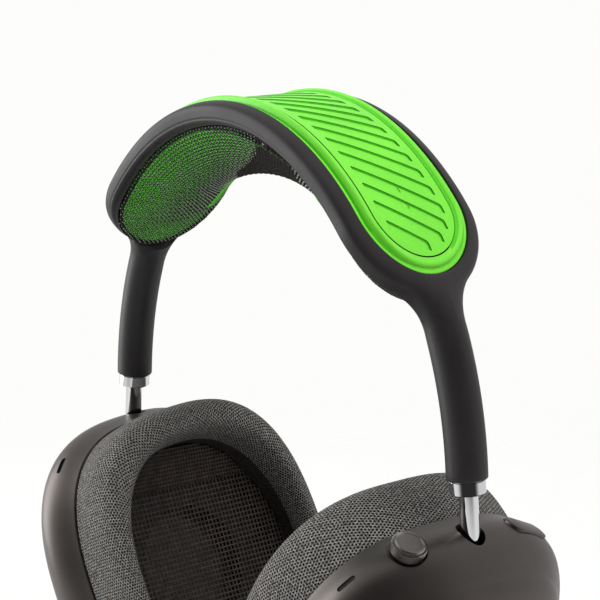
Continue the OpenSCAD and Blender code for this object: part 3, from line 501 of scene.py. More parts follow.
# Pressed polymer film of the diaphragm, smoked dark and slightly glossy
FILM = grained("smoked_polymer_film", "#3a3836", 0.3, 0.8, 0.01, ("#33312f", "#423f3d"),
               patch_mm=4, rough=(0.24, 0.36))
# Sintered bronze: warm, dull and porous
BRONZE = grained("sintered_bronze", "#a8864a", 0.48, 0.25, 0.02, ("#94743c", "#b8965a"),
                 patch_mm=3, rough=(0.42, 0.56), metallic=1.0)
# Aluminium laminate of the battery pouch, faintly wrinkled
FOIL = grained("aluminium_pouch_laminate", "#b8babd", 0.3, 3.0, 0.05, ("#aeb0b3", "#c2c4c7"),
               patch_mm=8, rough=(0.24, 0.38), detail=2.0, metallic=0.9)
CUSHION_KNIT, LINING, STEEL, BOARD = cushion_knit(), well_lining(), rolled_steel(), solder_mask()

# ---------------------------------------------------------------- headband

STRAIGHT, TURN, NECK = 44, 24, 34


def turn_angle(j):
    if j <= STRAIGHT:
        return 90.0
    if j <= STRAIGHT + TURN:
        return 90 - (90 - WAIST_A) * (j - STRAIGHT) / TURN
    return WAIST_A * (1 - (j - STRAIGHT - TURN) / NECK)


def oval_pt(j, half_w, end_s):
    if j <= STRAIGHT:
        return np.array([end_s * j / STRAIGHT, half_w])
    a = math.radians(turn_angle(j))
    return np.array([end_s + half_w * math.cos(a), half_w * math.sin(a)])


ARC_SHARE, SIDE_SHARE = 0.5, 0.6


def edge_pt(j):
    """The outline: oval, waist, a little of the arm's side, then across the arm."""
    if j <= STRAIGHT + TURN:
        return oval_pt(j, OVAL_HALF_W, OVAL_END_S)
    v = (j - STRAIGHT - TURN) / NECK
    if v <= ARC_SHARE:
        a = math.radians(180 + WAIST_A + (90 - WAIST_A) * v / ARC_SHARE)
        return np.array([WAIST_S + WAIST_R * math.cos(a), WAIST_Y + WAIST_R * math.sin(a)])
    if v <= SIDE_SHARE:
        return np.array([mix(WAIST_S, NECK_S, (v - ARC_SHARE) / (SIDE_SHARE - ARC_SHARE)), ARM_R])
    return np.array([NECK_S, ARM_R * math.cos(math.pi / 2 * (v - SIDE_SHARE) / (1 - SIDE_SHARE))])


def edge_gap(p):
    s, y = p[0], abs(p[1])
    if s >= WAIST_S:
        return ARM_R - y
    if s <= OVAL_END_S:
        return OVAL_HALF_W - y
    if math.degrees(math.atan2(y, s - OVAL_END_S)) < WAIST_A:
        return math.hypot(s - WAIST_S, y - WAIST_Y) - WAIST_R
    return OVAL_HALF_W - math.hypot(s - OVAL_END_S, y)


def neck_mix(s):
    return float(ease((s - OVAL_END_S - 5) / (NECK_S - OVAL_END_S - 5)))


def roll(p):
    t = neck_mix(p[0])
    n, w = mix(5, 2, t), mix(OVAL_HALF_W, ARM_R, t)
    x = 1 - min(max(edge_gap(p) / w, 0), 1)
    return max(1 - x ** n, 0) ** (1 / n)


def top_at(p):
    return max(0.12, mix(RAIL_TOP, ARM_R, neck_mix(p[0])) * roll(p))


def bottom_at(p):
    return -max(0.12, mix(RAIL_BOTTOM, ARM_R, neck_mix(p[0])) * roll(p))


def gap_share(height, full):
    """How far in from the rail's edge its rounded side has reached a height."""
    return OVAL_HALF_W * (1 - (1 - (height / full) ** 5) ** 0.2)


TOP_T = [1 - gap_share(h, RAIL_TOP) / (OVAL_HALF_W - POCKET_HALF_W)
         for h in (3.55, 3.3, 3.0, 2.6, 2.2, 1.7, 1.1, 0.5)]
SIDE_H = (0.3, 0.5, 0.62, 0.74, 0.86, 0.98, 1.12, 1.3, 1.5, 1.7, 1.88)
LIP_T = [gap_share(h, RAIL_BOTTOM) / (OVAL_HALF_W - CANOPY_HALF_W) for h in SIDE_H] + [0.72, 0.88]
CREASE_H, CREASE_DEPTH, CREASE_W = 0.72, 0.16, 0.3


def rail_section(j):
    ledge = oval_pt(j, POCKET_HALF_W - LEDGE_W, POCKET_END_S)
    wall, lip, edge = (oval_pt(j, POCKET_HALF_W, POCKET_END_S), oval_pt(j, CANOPY_HALF_W, CANOPY_END_S),
                       edge_pt(j))
    out = [(ledge, LEDGE_Z), (wall, LEDGE_Z), (wall, top_at(wall) - 0.35)]
    for t, drop in ((0.015, 0.15), (0.05, 0.04), (0.1, 0), (0.2, 0), (0.32, 0), (0.46, 0), (0.6, 0)):
        p = mix(wall, edge, t)
        out.append((p, top_at(p) - drop))
    for t in TOP_T:
        p = mix(wall, edge, max(t, 0.65))
        out.append((p, top_at(p)))
    out += [(edge, top_at(edge)), (edge, bottom_at(edge))]
    inward = (lip - edge) / max(np.linalg.norm(lip - edge), 1e-6)
    keep = 1 - neck_mix(edge[0])
    for t in LIP_T:
        p = mix(edge, lip, min(t, 1))
        z = bottom_at(p)
        z = mix(z, min(z, -RAIL_BOTTOM + (1 - t) * 1.1), ease((t - 0.5) / 0.5))
        push = CREASE_DEPTH * keep * math.exp(-((z + CREASE_H) / CREASE_W) ** 2)
        out.append((p + inward * push, z))
    foot = oval_pt(j, CANOPY_HALF_W - 0.45, CANOPY_END_S)
    out += [(mix(edge, lip, 0.97), -RAIL_BOTTOM), (lip, -RAIL_BOTTOM - 0.04),
            (mix(lip, foot, 0.6), -RAIL_BOTTOM + 0.1), (foot, -RAIL_BOTTOM + 0.45),
            (ledge, LEDGE_Z - LEDGE_T)]
    return out


EDGE_ROW = 3 + 7 + len(TOP_T)       # the row just above the outline; the next is just below it


def headband():
    quarter = STRAIGHT + TURN + NECK
    turns = four_quarters(quarter)
    sections = [rail_section(j) for j in range(quarter + 1)]
    rows = len(sections[0])
    points = np.concatenate([
        on_arch([sx * p[0] for p, _ in sections[j]], [sy * p[1] for p, _ in sections[j]],
                [z for _, z in sections[j]]) for j, sx, sy in turns])
    quads = grid(len(turns), rows, loop_rows=True, loop_cols=True)
    first_cut = STRAIGHT + TURN + int(round(SIDE_SHARE * NECK))
    # The outline's edge is open across each arm's neck, where the arm's rings take over
    edge_col = (np.arange(len(quads)) % rows) == EDGE_ROW
    step = np.arange(len(quads)) // rows
    across = np.array([min(turns[i][0], turns[(i + 1) % len(turns)][0]) >= first_cut
                       for i in range(len(turns))])
    faces = quads[~(edge_col & across[step])].tolist()
    points = points.tolist()
    for sx in (1, -1):
        ids = [i for i, (j, tx, _) in enumerate(turns) if tx == sx and j >= first_cut]
        ring = [i * rows + EDGE_ROW for i in ids] + [i * rows + EDGE_ROW + 1 for i in reversed(ids)]
        y = [turns[i][2] * sections[turns[i][0]][EDGE_ROW][0][1] for i in ids]
        top = [sections[turns[i][0]][EDGE_ROW][1] for i in ids]
        ys, zs = np.array(y + y[::-1]), np.array(top + [-z for z in top[::-1]])
        rings = [(s, 1.0) for s in np.linspace(NECK_S, ARM_END_S - 0.5, 22)[1:]]
        rings += [(ARM_END_S - 0.22, 0.985), (ARM_END_S - 0.06, 0.955), (ARM_END_S, 0.91)]
        square = zs * math.tan(ARM_END_TURN)
        hoops = [on_arch(sx * (s - square * k * max(0, 1 - (ARM_END_S - s) / 3)), ys * k, zs * k)
                 for s, k in rings]
        # The bore for the stem: mouth, bush seat, glide bore, end
        angle = np.arctan2(ys, zs)
        seat_r = BUSH_R + FIT_GAP
        bore = [(seat_r, 0.0), (seat_r, BUSH_TOP), (GLIDE_BORE_R, BUSH_TOP),
                (GLIDE_BORE_R, BORE_TOP), (0.02, BORE_TOP)]
        hoops += [placed(np.stack([r * np.cos(angle), r * np.sin(angle), np.full(len(ring), h)], -1),
                         AT_ARM) * [sx, 1, 1] for r, h in bore]
        last = ring
        for hoop in hoops:
            new = list(range(len(points), len(points) + len(ring)))
            points += hoop.tolist()
            faces += bridge(last, new)
            last = new
        faces.append(last[::-1])
    return piece("headband_skin", points, faces, [SOFT_TOUCH], weld=2e-6)


headband_skin = headband()
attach(headband_skin, "headband")
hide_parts("headband_frame", "right_arm_tube", "left_arm_tube")

# ---------------------------------------------------------------- canopy


def strewn(tree, base, copies):
    """Ends a geometry tree: its base, joined with an instance on each point."""
    both = add(tree, "GeometryNodeJoinGeometry")
    for part in (add(tree, "GeometryNodeInstanceOnPoints", copies).outputs[0], base):
        tree.links.new(part, both.inputs[0])
    real = add(tree, "GeometryNodeRealizeInstances", {"Geometry": both.outputs[0]})
    add(tree, "NodeGroupOutput", {"Geometry": real.outputs[0]})
    return tree


def net_tree():
    """Turns the edges of a mesh into yarn, with a knot of a second material on each crossing."""
    tree, given = node_group("knit_net", (
        ("Yarn radius", "Float"), ("Sides", "Int"), ("Material", "Material"),
        ("Knot radius", "Float"), ("Knot material", "Material")))
    curve = add(tree, "GeometryNodeMeshToCurve", {"Mesh": given["Geometry"]})
    ring = add(tree, "GeometryNodeCurvePrimitiveCircle", {"Resolution": given["Sides"],
                                                          "Radius": given["Yarn radius"]})
    yarn = add(tree, "GeometryNodeCurveToMesh", {"Curve": curve.outputs[0], "Profile Curve": ring.outputs[0],
                                                 "Fill Caps": True})
    dyed = add(tree, "GeometryNodeSetMaterial", {"Geometry": yarn.outputs[0], "Material": given["Material"]})
    slub = add(tree, "GeometryNodeMeshUVSphere", {"Segments": 5, "Rings": 3, "Radius": given["Knot radius"]})
    pale = add(tree, "GeometryNodeSetMaterial", {"Geometry": slub.outputs["Mesh"],
                                                 "Material": given["Knot material"]})
    return strewn(tree, dyed.outputs[0], {"Points": given["Geometry"], "Instance": pale.outputs[0]})


def through(obj, tree, values, sharp=38):
    """Runs a geometry tree on an object with its inputs set by identifier, and keeps the plain mesh."""
    modifier = obj.modifiers.new(tree.name, "NODES")
    modifier.node_group = tree
    for item in tree.interface.items_tree:
        if item.item_type == "SOCKET" and item.in_out == "INPUT" and item.name in values:
            modifier[item.identifier] = values[item.name]
    return settle(obj, sharp)


NET = net_tree()


def net_piece(name, points, edges, yarn, yarn_mm, sides, knot, knot_mm):
    """A net of yarn along the edges between points in millimetres, with a knot on each point."""
    mesh = bpy.data.meshes.new(name)
    mesh.from_pydata((points * 0.001).tolist(), edges, [])
    return through(link(name, mesh), NET, {
        "Yarn radius": yarn_mm * 0.001, "Sides": sides, "Material": yarn,
        "Knot radius": knot_mm * 0.001, "Knot material": knot}, sharp=70)


CANOPY_IN_W = CANOPY_HALF_W - HOOP_R - 0.1 + 0.05
BINDING_W, BINDING_R = CANOPY_HALF_W - HOOP_R - 0.1, 0.45
NET_WRAP = 0.65         # the net turns up over the binding by this much, to the rail
NET_PITCH = 0.98        # the real net is nearer 0.8 mm, drawn coarser so that its holes show
LINING_BACK = 14.6      # the lining stops short of a rail
HEM_START, HEM_FROM_S, HEM_TO_S = 11.3, 30, 66


def half_at(s, half_w):
    past = np.maximum(np.abs(s) - CANOPY_END_S, 0)
    return np.sqrt(np.maximum(half_w ** 2 - past ** 2, 0))


def canopy_off(s, y):
    """Height of the net: it hangs from the binding and sags most at the crown."""
    t = np.minimum(np.abs(s) / OVAL_END_S, 1.25)
    sag = CANOPY_SAG * (1 - 0.6 * t * t)
    fall = sag * (half_at(s, CANOPY_IN_W) ** 2 - np.asarray(y) ** 2) / CANOPY_IN_W ** 2
    past = np.hypot(np.maximum(np.abs(s) - CANOPY_END_S, 0), y) - BINDING_W
    return HOOP_OFF - 0.25 - np.maximum(fall, 0) + 0.85 * ease(past / NET_WRAP)


def lime_edge(s, y):
    """Above 0 where the lining is lime; below 0 in the slanted dark band over the crown, which is partly
    painted shade.
    """
    at_y = ([-18, -14, -10, -5, 0, 14, 18], [13, 8.5, 0, -14, -22, -26, -27])
    return np.maximum(np.interp(y, *at_y) - s, s + np.interp(-y, *at_y))


def canopy():
    """An open net: a lattice of diagonal yarns laid on the sagging surface."""
    step = NET_PITCH / math.sqrt(2)
    reach = BINDING_W + NET_WRAP
    n_s, n_y = int((CANOPY_END_S + reach) / step) + 1, int(reach / step) + 1
    where, points, edges = {}, [], []
    for i in range(-n_s, n_s + 1):
        for k in range(-n_y, n_y + 1):
            s, y = i * step, k * step
            if (i + k) % 2 or abs(y) > half_at(s, reach):
                continue
            where[i, k] = len(points)
            points.append((s, y))
    for (i, k), a in where.items():
        edges += [(a, where[i + 1, k + d]) for d in (-1, 1) if (i + 1, k + d) in where]
    s, y = np.array(points).T
    # Each yarn passes over and under its neighbours
    lift = 0.06 * np.where((np.round(s / step).astype(int) // 2) % 2, 1, -1)
    obj = net_piece("canopy_net", on_arch(s, y, canopy_off(s, y) + lift), edges,
                    CANOPY_YARN, 0.135, 3, KNOT_PAINTED_HIGHLIGHT, 0.23)
    # Over the lining's band of painted shade the knots lose their painted highlight and take the yarn's
    # colour
    faces = obj.data.polygons
    centre, index = np.empty(3 * len(faces)), np.empty(len(faces), np.int32)
    faces.foreach_get("center", centre)
    faces.foreach_get("material_index", index)
    x, y, z = centre.reshape(-1, 3).T * 1000
    turn = np.degrees(np.arctan2(x / ARCH_HALF_W, (z - ARCH_BASE_Z) / ARCH_RISE))
    s = np.sign(turn) * np.interp(np.abs(turn), _degrees, _length)
    yarn = list(obj.data.materials).index(CANOPY_YARN)
    index[lime_edge(s, y) < 0] = yarn
    faces.foreach_set("material_index", index)
    return obj


def canopy_lining():
    """A closed thin layer just above the net. At each end it stops short of one rail, where its hem
    comes through below the net."""
    rows, cols, over, thick = 220, 64, 0.75, 0.35
    s_max = CANOPY_END_S + BINDING_W - 0.4
    s = (s_max * np.sin(np.linspace(-np.pi / 2, np.pi / 2, rows)))[:, None]
    half = np.maximum(half_at(s, BINDING_W - 0.2), 0.3)
    switch = ease((s + 26) / 52)
    short = np.minimum(half, LINING_BACK)
    low, high = -mix(half, short, switch), mix(short, half, switch)
    y = mix(low, high, np.linspace(0, 1, cols)[None, :])
    s = s + 0 * y
    outward = y * -np.sign(s)
    hem = (ease((outward - HEM_START) / 0.6) * ease((np.abs(s) - HEM_FROM_S) / 10)
           * ease((HEM_TO_S - np.abs(s)) / 10))
    off = canopy_off(s, y) + mix(over, -0.75, hem)
    n = rows * cols
    faces = [f[::-1] for f in grid(rows, cols).tolist()] + (grid(rows, cols) + n).tolist()
    # The slanted dark band over the crown, partly painted shade
    inner = lime_edge(0.25 * (s[:-1, :-1] + s[1:, :-1] + s[:-1, 1:] + s[1:, 1:]),
                      0.25 * (y[:-1, :-1] + y[1:, :-1] + y[:-1, 1:] + y[1:, 1:])) < 0
    border = ([(0, c) for c in range(cols)] + [(r, cols - 1) for r in range(1, rows)]
              + [(rows - 1, c) for c in range(cols - 2, -1, -1)] + [(r, 0) for r in range(rows - 2, 0, -1)])
    ids = [r * cols + c for r, c in border]
    tone = np.where(hem[:-1, :-1] > 0.4, 2, inner)
    index = np.concatenate([tone.ravel(), tone.ravel(), np.zeros(len(ids))])
    faces += bridge(ids, [i + n for i in ids])
    points = np.concatenate([on_arch(s, y, off).reshape(-1, 3), on_arch(s, y, off + thick).reshape(-1, 3)])
    return piece("canopy_lining", points, faces, [LINING_CLOTH, CANOPY_LINING_PAINTED_SHADE, HEM_CLOTH], index, weld=1e-7)


def canopy_binding():
    """Woven tape bound round the hoop at the canopy's edge."""
    steps, sides = 60, 14
    path = [(CANOPY_END_S * k / 40, 90.0) for k in range(40)] + [(CANOPY_END_S, 90 - 90 * k / steps)
                                                                for k in range(steps + 1)]
    ring = []
    for end_s, angle in path:
        a = math.radians(angle)
        line = []
        for t in np.linspace(0, 2 * np.pi, sides, endpoint=False):
            w = BINDING_W + BINDING_R * math.cos(t)
            line.append((end_s + w * math.cos(a), w * math.sin(a), HOOP_OFF + 0.2 + BINDING_R * math.sin(t)))
        ring.append(line)
    n = len(ring)
    turns = ([(j, 1, 1) for j in range(n - 1, -1, -1)] + [(j, -1, 1) for j in range(1, n)]
             + [(j, -1, -1) for j in range(n - 2, -1, -1)] + [(j, 1, -1) for j in range(1, n - 1)])
    q = np.array([(sx * s, sy * y, o) for j, sx, sy in turns for s, y, o in ring[j]])
    return piece("canopy_binding", on_arch(*q.T), grid(len(turns), sides, True, True), [BINDING], weld=1e-7)


canopy_net, lining, binding = canopy(), canopy_lining(), canopy_binding()
for obj, slot in ((canopy_net, "canopy_knit"), (lining, "canopy_knit"), (binding, "canopy_knit")):
    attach(obj, "headband")
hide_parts("canopy")
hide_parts("canopy_hoop")

# ---------------------------------------------------------------- silicone cover

COVER_STRAIGHT, COVER_TURN = 76, 30


def cover_pt(j, half_w):
    if j <= COVER_STRAIGHT:
        return POCKET_END_S * j / COVER_STRAIGHT, half_w
    a = math.pi / 2 * (COVER_STRAIGHT + COVER_TURN - j) / COVER_TURN
    return POCKET_END_S + half_w * math.cos(a), half_w * math.sin(a)


# Inset from the rim and height over the seat: flange, bead, step, panel
BEAD = [(0, 0.1), (0.0, 0.7), (0.05, 0.9), (0.16, 1.02), (0.34, 1.06), (0.68, 1.06), (0.84, 0.98),
        (0.93, 0.78), (1.02, 0.56), (1.18, 0.5), (1.34, 0.56), (1.44, 0.8), (1.52, 1.2), (1.64, 1.66),
        (1.78, 2.04), (1.96, 2.32), (2.18, 2.48), (2.4, 2.52), (2.62, 2.45), (2.86, 2.3), (3.1, 2.1),
        (3.36, 1.92), (3.62, 1.78), (3.86, 1.7), (3.92, 1.6), (3.94, 1.1), (4.12, 1.1), (4.14, 1.6),
        (4.22, 1.7)]
PANEL_INSET, PANEL_H = BEAD[-1]
# Strips of BEAD, by number: the parting step, the wider one at the rear, and the valley inside the flange,
# all coloured with painted shade
STEP_LINES, REAR_STEP_LINES, VALLEY_LINES = tuple(range(23, 28)), tuple(range(20, 28)), tuple(range(6, 12))


def silicone_cover():
    quarter = COVER_STRAIGHT + COVER_TURN
    turns = four_quarters(quarter)
    inner = [PANEL_INSET + (COVER_HALF_W - PANEL_INSET) * t
             for t in (0.05, 0.12, 0.22, 0.34, 0.46, 0.58, 0.7, 0.82, 0.92, 1)]
    under = [(COVER_HALF_W, PANEL_RISE), (COVER_HALF_W * 0.6, PANEL_RISE), (LEDGE_W + 0.8, PANEL_RISE),
             (LEDGE_W + 0.3, 0.0), (0.2, 0.0)]
    rows = len(BEAD) + len(inner) + len(under)
    out = []
    for j, sx, sy in turns:
        fade = 0.62 * float(ease((j - COVER_STRAIGHT - 4) / (COVER_TURN * 0.75)))
        line = []
        for k, (inset, h) in enumerate(BEAD):
            if 0.7 < inset < 3.9:
                h = mix(h, 1.06 + 0.64 * (inset - 0.7) / 3.2, fade)
            line.append((inset, h))
        line += [(i, PANEL_H) for i in inner] + under
        for inset, h in line:
            p = cover_pt(j, COVER_HALF_W - inset)
            out.append((sx * p[0], sy * p[1], COVER_SEAT + h))
    out = np.array(out)
    quads = grid(len(turns), rows, loop_rows=True, loop_cols=True)
    col = np.arange(len(quads)) % rows
    # Painted shade by side: the parting step is near-black except along the rear straight, where a wider
    # strip round it takes the deeper green, as does the valley along the straight sides
    side = np.array([turns[k // rows][0] < COVER_STRAIGHT + 6 for k in range(len(quads))])
    rear = np.array([turns[k // rows][2] > 0 and turns[k // rows][0] < COVER_STRAIGHT + 20
                     for k in range(len(quads))])
    index = np.where(np.isin(col, STEP_LINES) & ~rear, 2, (np.isin(col, VALLEY_LINES) & side)
                     | (np.isin(col, REAR_STEP_LINES) & rear))
    return piece("cover_skin", on_arch(*out.T), quads[:, ::-1],
                 [SILICONE, SILICONE_PAINTED_SHADE, SILICONE_PAINTED_SHADOW], index, weld=1e-6)


def groove_reach(s, side):
    """Where a groove's middle line ends: along the panel's straight sides and round its ends."""
    t, past = math.tan(math.radians(GROOVE_ANGLE)), s - POCKET_END_S
    if past + side * GROOVE_HALF_Y * t < 0:
        return side * GROOVE_HALF_Y
    return (side * math.sqrt(max(0, GROOVE_HALF_Y ** 2 * (1 + t * t) - past * past)) - t * past) / (1 + t * t)


def groove_cutter(name, depth, back, front, slope, grow, faces_of, ends_of):
    """Slanted slots with rounded corners, from back to front of their middle line along the arch."""
    count = 2 * int((POCKET_END_S + GROOVE_HALF_Y) // GROOVE_PITCH) + 1
    points, faces, index = [], [], []
    for i in range(count):
        s0 = (i - (count - 1) / 2) * GROOVE_PITCH
        low = groove_reach(s0, -1) if s0 >= 0 else -groove_reach(-s0, 1)
        high = groove_reach(s0, 1) if s0 >= 0 else -groove_reach(-s0, -1)
        low, high = low - grow, high + grow
        corner = 0.45
        ys = np.concatenate([[low, low + corner * 0.3, low + corner], np.linspace(low + 1, high - 1, 21),
                             [high - corner, high - corner * 0.3, high]])
        nip = np.concatenate([[corner, corner * 0.35, 0], np.zeros(21), [0, corner * 0.35, corner]])
        base = len(points)
        for y, n in zip(ys, nip):
            s = s0 + y * math.tan(math.radians(GROOVE_ANGLE))
            for ds, off in ((back + n + slope, PANEL_TOP - depth), (front - n, PANEL_TOP - depth),
                            (front - n, PANEL_TOP + 0.6), (back + n - slope, PANEL_TOP + 0.6)):
                points.append(on_arch(s + ds, y, off))
        for r in range(len(ys) - 1):
            for k in range(4):
                a, b = base + 4 * r + k, base + 4 * r + (k + 1) % 4
                faces.append((a + 4, b + 4, b, a))
                index.append(faces_of[k])
        last = base + 4 * (len(ys) - 1)
        faces += [tuple(base + k for k in range(4)), tuple(last + k for k in (3, 2, 1, 0))]
        index += [ends_of, ends_of]
    return piece(name, points, faces, [SILICONE, SILICONE_PAINTED_SHADE, SILICONE_PAINTED_SHADOW], index)


cover_skin = silicone_cover()
# A shallow parting step runs round each groove, coloured as painted shadow; the groove's wall away from it is
# a deeper green of painted shade
carve(cover_skin, [groove_cutter("groove_step_cutter", 0.12, -1.2, 1.46, 0.0, 0.16, (2, 2, 2, 1), 2),
                   groove_cutter("groove_cutter", 0.5, -1.1, 1.32, 0.25, 0.0, (0, 1, 0, 1), 1)], sharp=30)
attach(cover_skin, "cover")
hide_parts("silicone_cover")

# ---------------------------------------------------------------- cups: shells


def shell_k(f):
    return np.maximum(1 - f ** SHELL_CLOSE, 0) ** (1 / SHELL_CLOSE)


def bulge_at(f):
    return SHELL_BULGE * np.sin(np.pi * np.minimum(f / 0.7, 1)) ** 1.2


def super_pt(a, rv, rw, n):
    c, s = np.cos(a), np.sin(a)
    return np.stack([np.sign(c) * rv * np.abs(c) ** (2 / n), np.sign(s) * rw * np.abs(s) ** (2 / n)], -1)


def skin_w(u, v):
    f = (u + SEAM_U) / SHELL_DEPTH
    k = shell_k(f)
    rv, rw = k * (CUP_HALF_V + bulge_at(f)), k * (CUP_HALF_W + bulge_at(f))
    return CUP_W + rw * (1 - (np.abs(v - CUP_V) / rv) ** CUP_SQUARE) ** (1 / CUP_SQUARE)


def skin_slope(u, v):
    return math.atan2(skin_w(u, v + 0.1) - skin_w(u, v - 0.1), 0.2)


def even_outline(rv, rw, n, steps):
    """A superellipse with its points evenly spaced along it."""
    a = np.linspace(0, 2 * np.pi, 4001)
    p = super_pt(a, rv, rw, n)
    d = np.concatenate([[0], np.cumsum(np.linalg.norm(np.diff(p, axis=0), axis=1))])
    at = np.interp(np.linspace(0, d[-1], steps, endpoint=False), d, a)
    return super_pt(at, rv, rw, n), d[-1]


SHELL_AROUND = 256


def shell_rows(inset, f_list):
    rows = []
    for f, k in f_list:
        rv, rw = CUP_HALF_V + bulge_at(f) - inset, CUP_HALF_W + bulge_at(f) - inset
        p, _ = even_outline(max(rv, 1) * max(k, 1e-4), max(rw, 1) * max(k, 1e-4), CUP_SQUARE, SHELL_AROUND)
        u = -SEAM_U + f * (SHELL_DEPTH - inset)
        rows.append(np.column_stack([np.full(SHELL_AROUND, u), CUP_V + p[:, 0], CUP_W + p[:, 1]]))
    return rows


def f_steps(first, straight, turned):
    theta0 = math.asin(first ** (SHELL_CLOSE / 2))
    out = [(f, float(shell_k(np.float64(f)))) for f in np.linspace(0, first, straight)]
    for t in np.linspace(theta0, math.pi / 2, turned)[1:]:
        out.append((math.sin(t) ** (2 / SHELL_CLOSE), max(math.cos(t), 0) ** (2 / SHELL_CLOSE)))
    return out


def side_points(side, points):
    """Points from a cup's frame to the model's, mirrored for the left cup."""
    p = placed(points, AT_CUP)
    return p if side == "right" else p * [-1, 1, 1]


def hull_object(name, side, points, index=1):
    """A convex solid round a cloud of points in a cup's frame."""
    bm = bmesh.new()
    for p in side_points(side, points):
        bm.verts.new([float(c) * 0.001 for c in p])
    bmesh.ops.convex_hull(bm, input=bm.verts)
    loose = [v for v in bm.verts if not v.link_faces]
    bmesh.ops.delete(bm, geom=loose, context="VERTS")
    bmesh.ops.recalc_face_normals(bm, faces=bm.faces)
    # Index 1 colours the faces it cuts with the slots' painted shade
    for f in bm.faces:
        f.material_index = index
    mesh = bpy.data.meshes.new(name)
    bm.to_mesh(mesh)
    bm.free()
    mesh.materials.append(ALUMINIUM)
    mesh.materials.append(SLOT_PAINTED_SHADE)
    return link(name, mesh)


def disc_points(r, z, steps=48):
    a = np.linspace(0, 2 * np.pi, steps, endpoint=False)
    return np.column_stack([r * np.cos(a), r * np.sin(a), np.full(steps, z)])


def pill_points(r, half_l, z, steps=24):
    """A pill's outline at a height: length along Y."""
    a = np.linspace(0, np.pi, steps)
    front = np.column_stack([r * np.cos(a), half_l + r * np.sin(a), np.full(steps, z)])
    return np.concatenate([front, front * [-1, -1, 1]])


def stem_slot_points(gap, low, high):
    """The cloud that the stem fills as the cup tilts, in the cup's frame."""
    cloud = []
    for tilt in (-TILT_IN, TILT_OUT):
        turn = Matrix.Rotation(math.radians(-STEM_LEAN - CUP_TILT + tilt), 4, "Y")
        for z in (low, high):
            cloud.append(placed(disc_points(STEM_R + gap, z), turn))
    return np.concatenate(cloud)


def on_skin(u, v):
    """A frame on top of the shell, with its Z out of the skin."""
    return Matrix.Translation((u, v, float(skin_w(u, v)))) @ Matrix.Rotation(skin_slope(u, v), 4, "X")


CROWN_SEAT = float(skin_w(CONTROL_U, -CROWN_BACK)) - 1.6
AT_CROWN = AT_CUP @ Matrix.Translation((CONTROL_U, -CROWN_BACK, CROWN_SEAT))


def row_skin(name, side, rows, caps, materials):
    """A skin over rows of points that run round the cup, with faces to cap it."""
    faces = grid(len(rows), SHELL_AROUND, loop_cols=True).tolist() + caps
    return piece(name, *sided(side, placed(np.concatenate(rows), AT_CUP), faces), materials, weld=2e-6)


def shell(side):
    outer = shell_rows(0, f_steps(0.5, 16, 46))
    inner = shell_rows(SHELL_WALL, f_steps(0.5, 6, 22))
    # A small round on the seam edge
    rim = outer[0]
    soft = rim + (inner[0] - rim) * 0.12
    outer[0] = rim + np.array([0.12, 0, 0])
    obj = row_skin(side + "_shell_skin", side, inner[::-1] + [soft] + outer, [], [ALUMINIUM, SLOT_PAINTED_SHADE])
    # The slot, mic and port cutters leave their walls in the slots' painted shade; the crown and button seats
    # keep the aluminium
    cutters = [hull_object("slot", side, stem_slot_points(SLOT_GAP, 3.0, 17)),
               hull_object("mic", side, placed(np.concatenate(
                   [pill_points(MIC_R, MIC_HALF_L, z) for z in (-3, 3)]), on_skin(MIC_U, MIC_V)))]
    if side == "right":
        cutters += [
            hull_object("crown_seat", side, np.concatenate(
                [disc_points(CROWN_R + 0.3, z, 64) for z in (-4, 10)])
                + [CONTROL_U, -CROWN_BACK, CROWN_SEAT], 0),
            hull_object("button_seat", side, placed(np.concatenate(
                [pill_points(BUTTON_R + 0.2, BUTTON_HALF_L, z) for z in (-4, 6)]),
                on_skin(CONTROL_U, BUTTON_FRONT)), 0),
            hull_object("port_seat", side, np.concatenate(
                [pill_points(PORT_R, PORT_HALF_L, z) for z in (-2, 10)])
                + [PORT_U, CUP_V, CUP_W - CUP_HALF_W - SHELL_BULGE]),
        ]
    carve(obj, cutters, sharp=32)
    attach(obj, side + "_cup")
    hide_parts(side + "_shell")
    return obj


def slot_liner(side):
    """A thin near-black sleeve that lines the stem's slot below the skin; its colour is the slots' painted
    shade.
    """
    sleeve = hull_object(side + "_slot_liner", side, stem_slot_points(SLOT_GAP + 0.35, 3.2, 10.2))
    carve(sleeve, [hull_object("slot_inside", side, stem_slot_points(SLOT_GAP - 0.02, 2.0, 14))], sharp=40)
    inside = row_skin("shell_inside", side, shell_rows(0.25, f_steps(0.5, 10, 30)),
                      [list(range(SHELL_AROUND))[::-1]], [ALUMINIUM])
    carve(sleeve, [inside], 40, "INTERSECT")
    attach(sleeve, side + "_cup")
    return sleeve


for side in ("right", "left"):
    shell(side)
    slot_liner(side)

# ---------------------------------------------------------------- cups: cushions

CUSHION_AROUND, LINING_DEPTH, WELL_UNDERCUT, MESH_RISE = 260, 8.0, 2.6, 2.8
CORNER_BULGE, WEDGE = 1.4, 0.04         # fuller at the corners, and higher toward the back of the head
LIP_HALF_V = WELL_HALF_V + 1.8


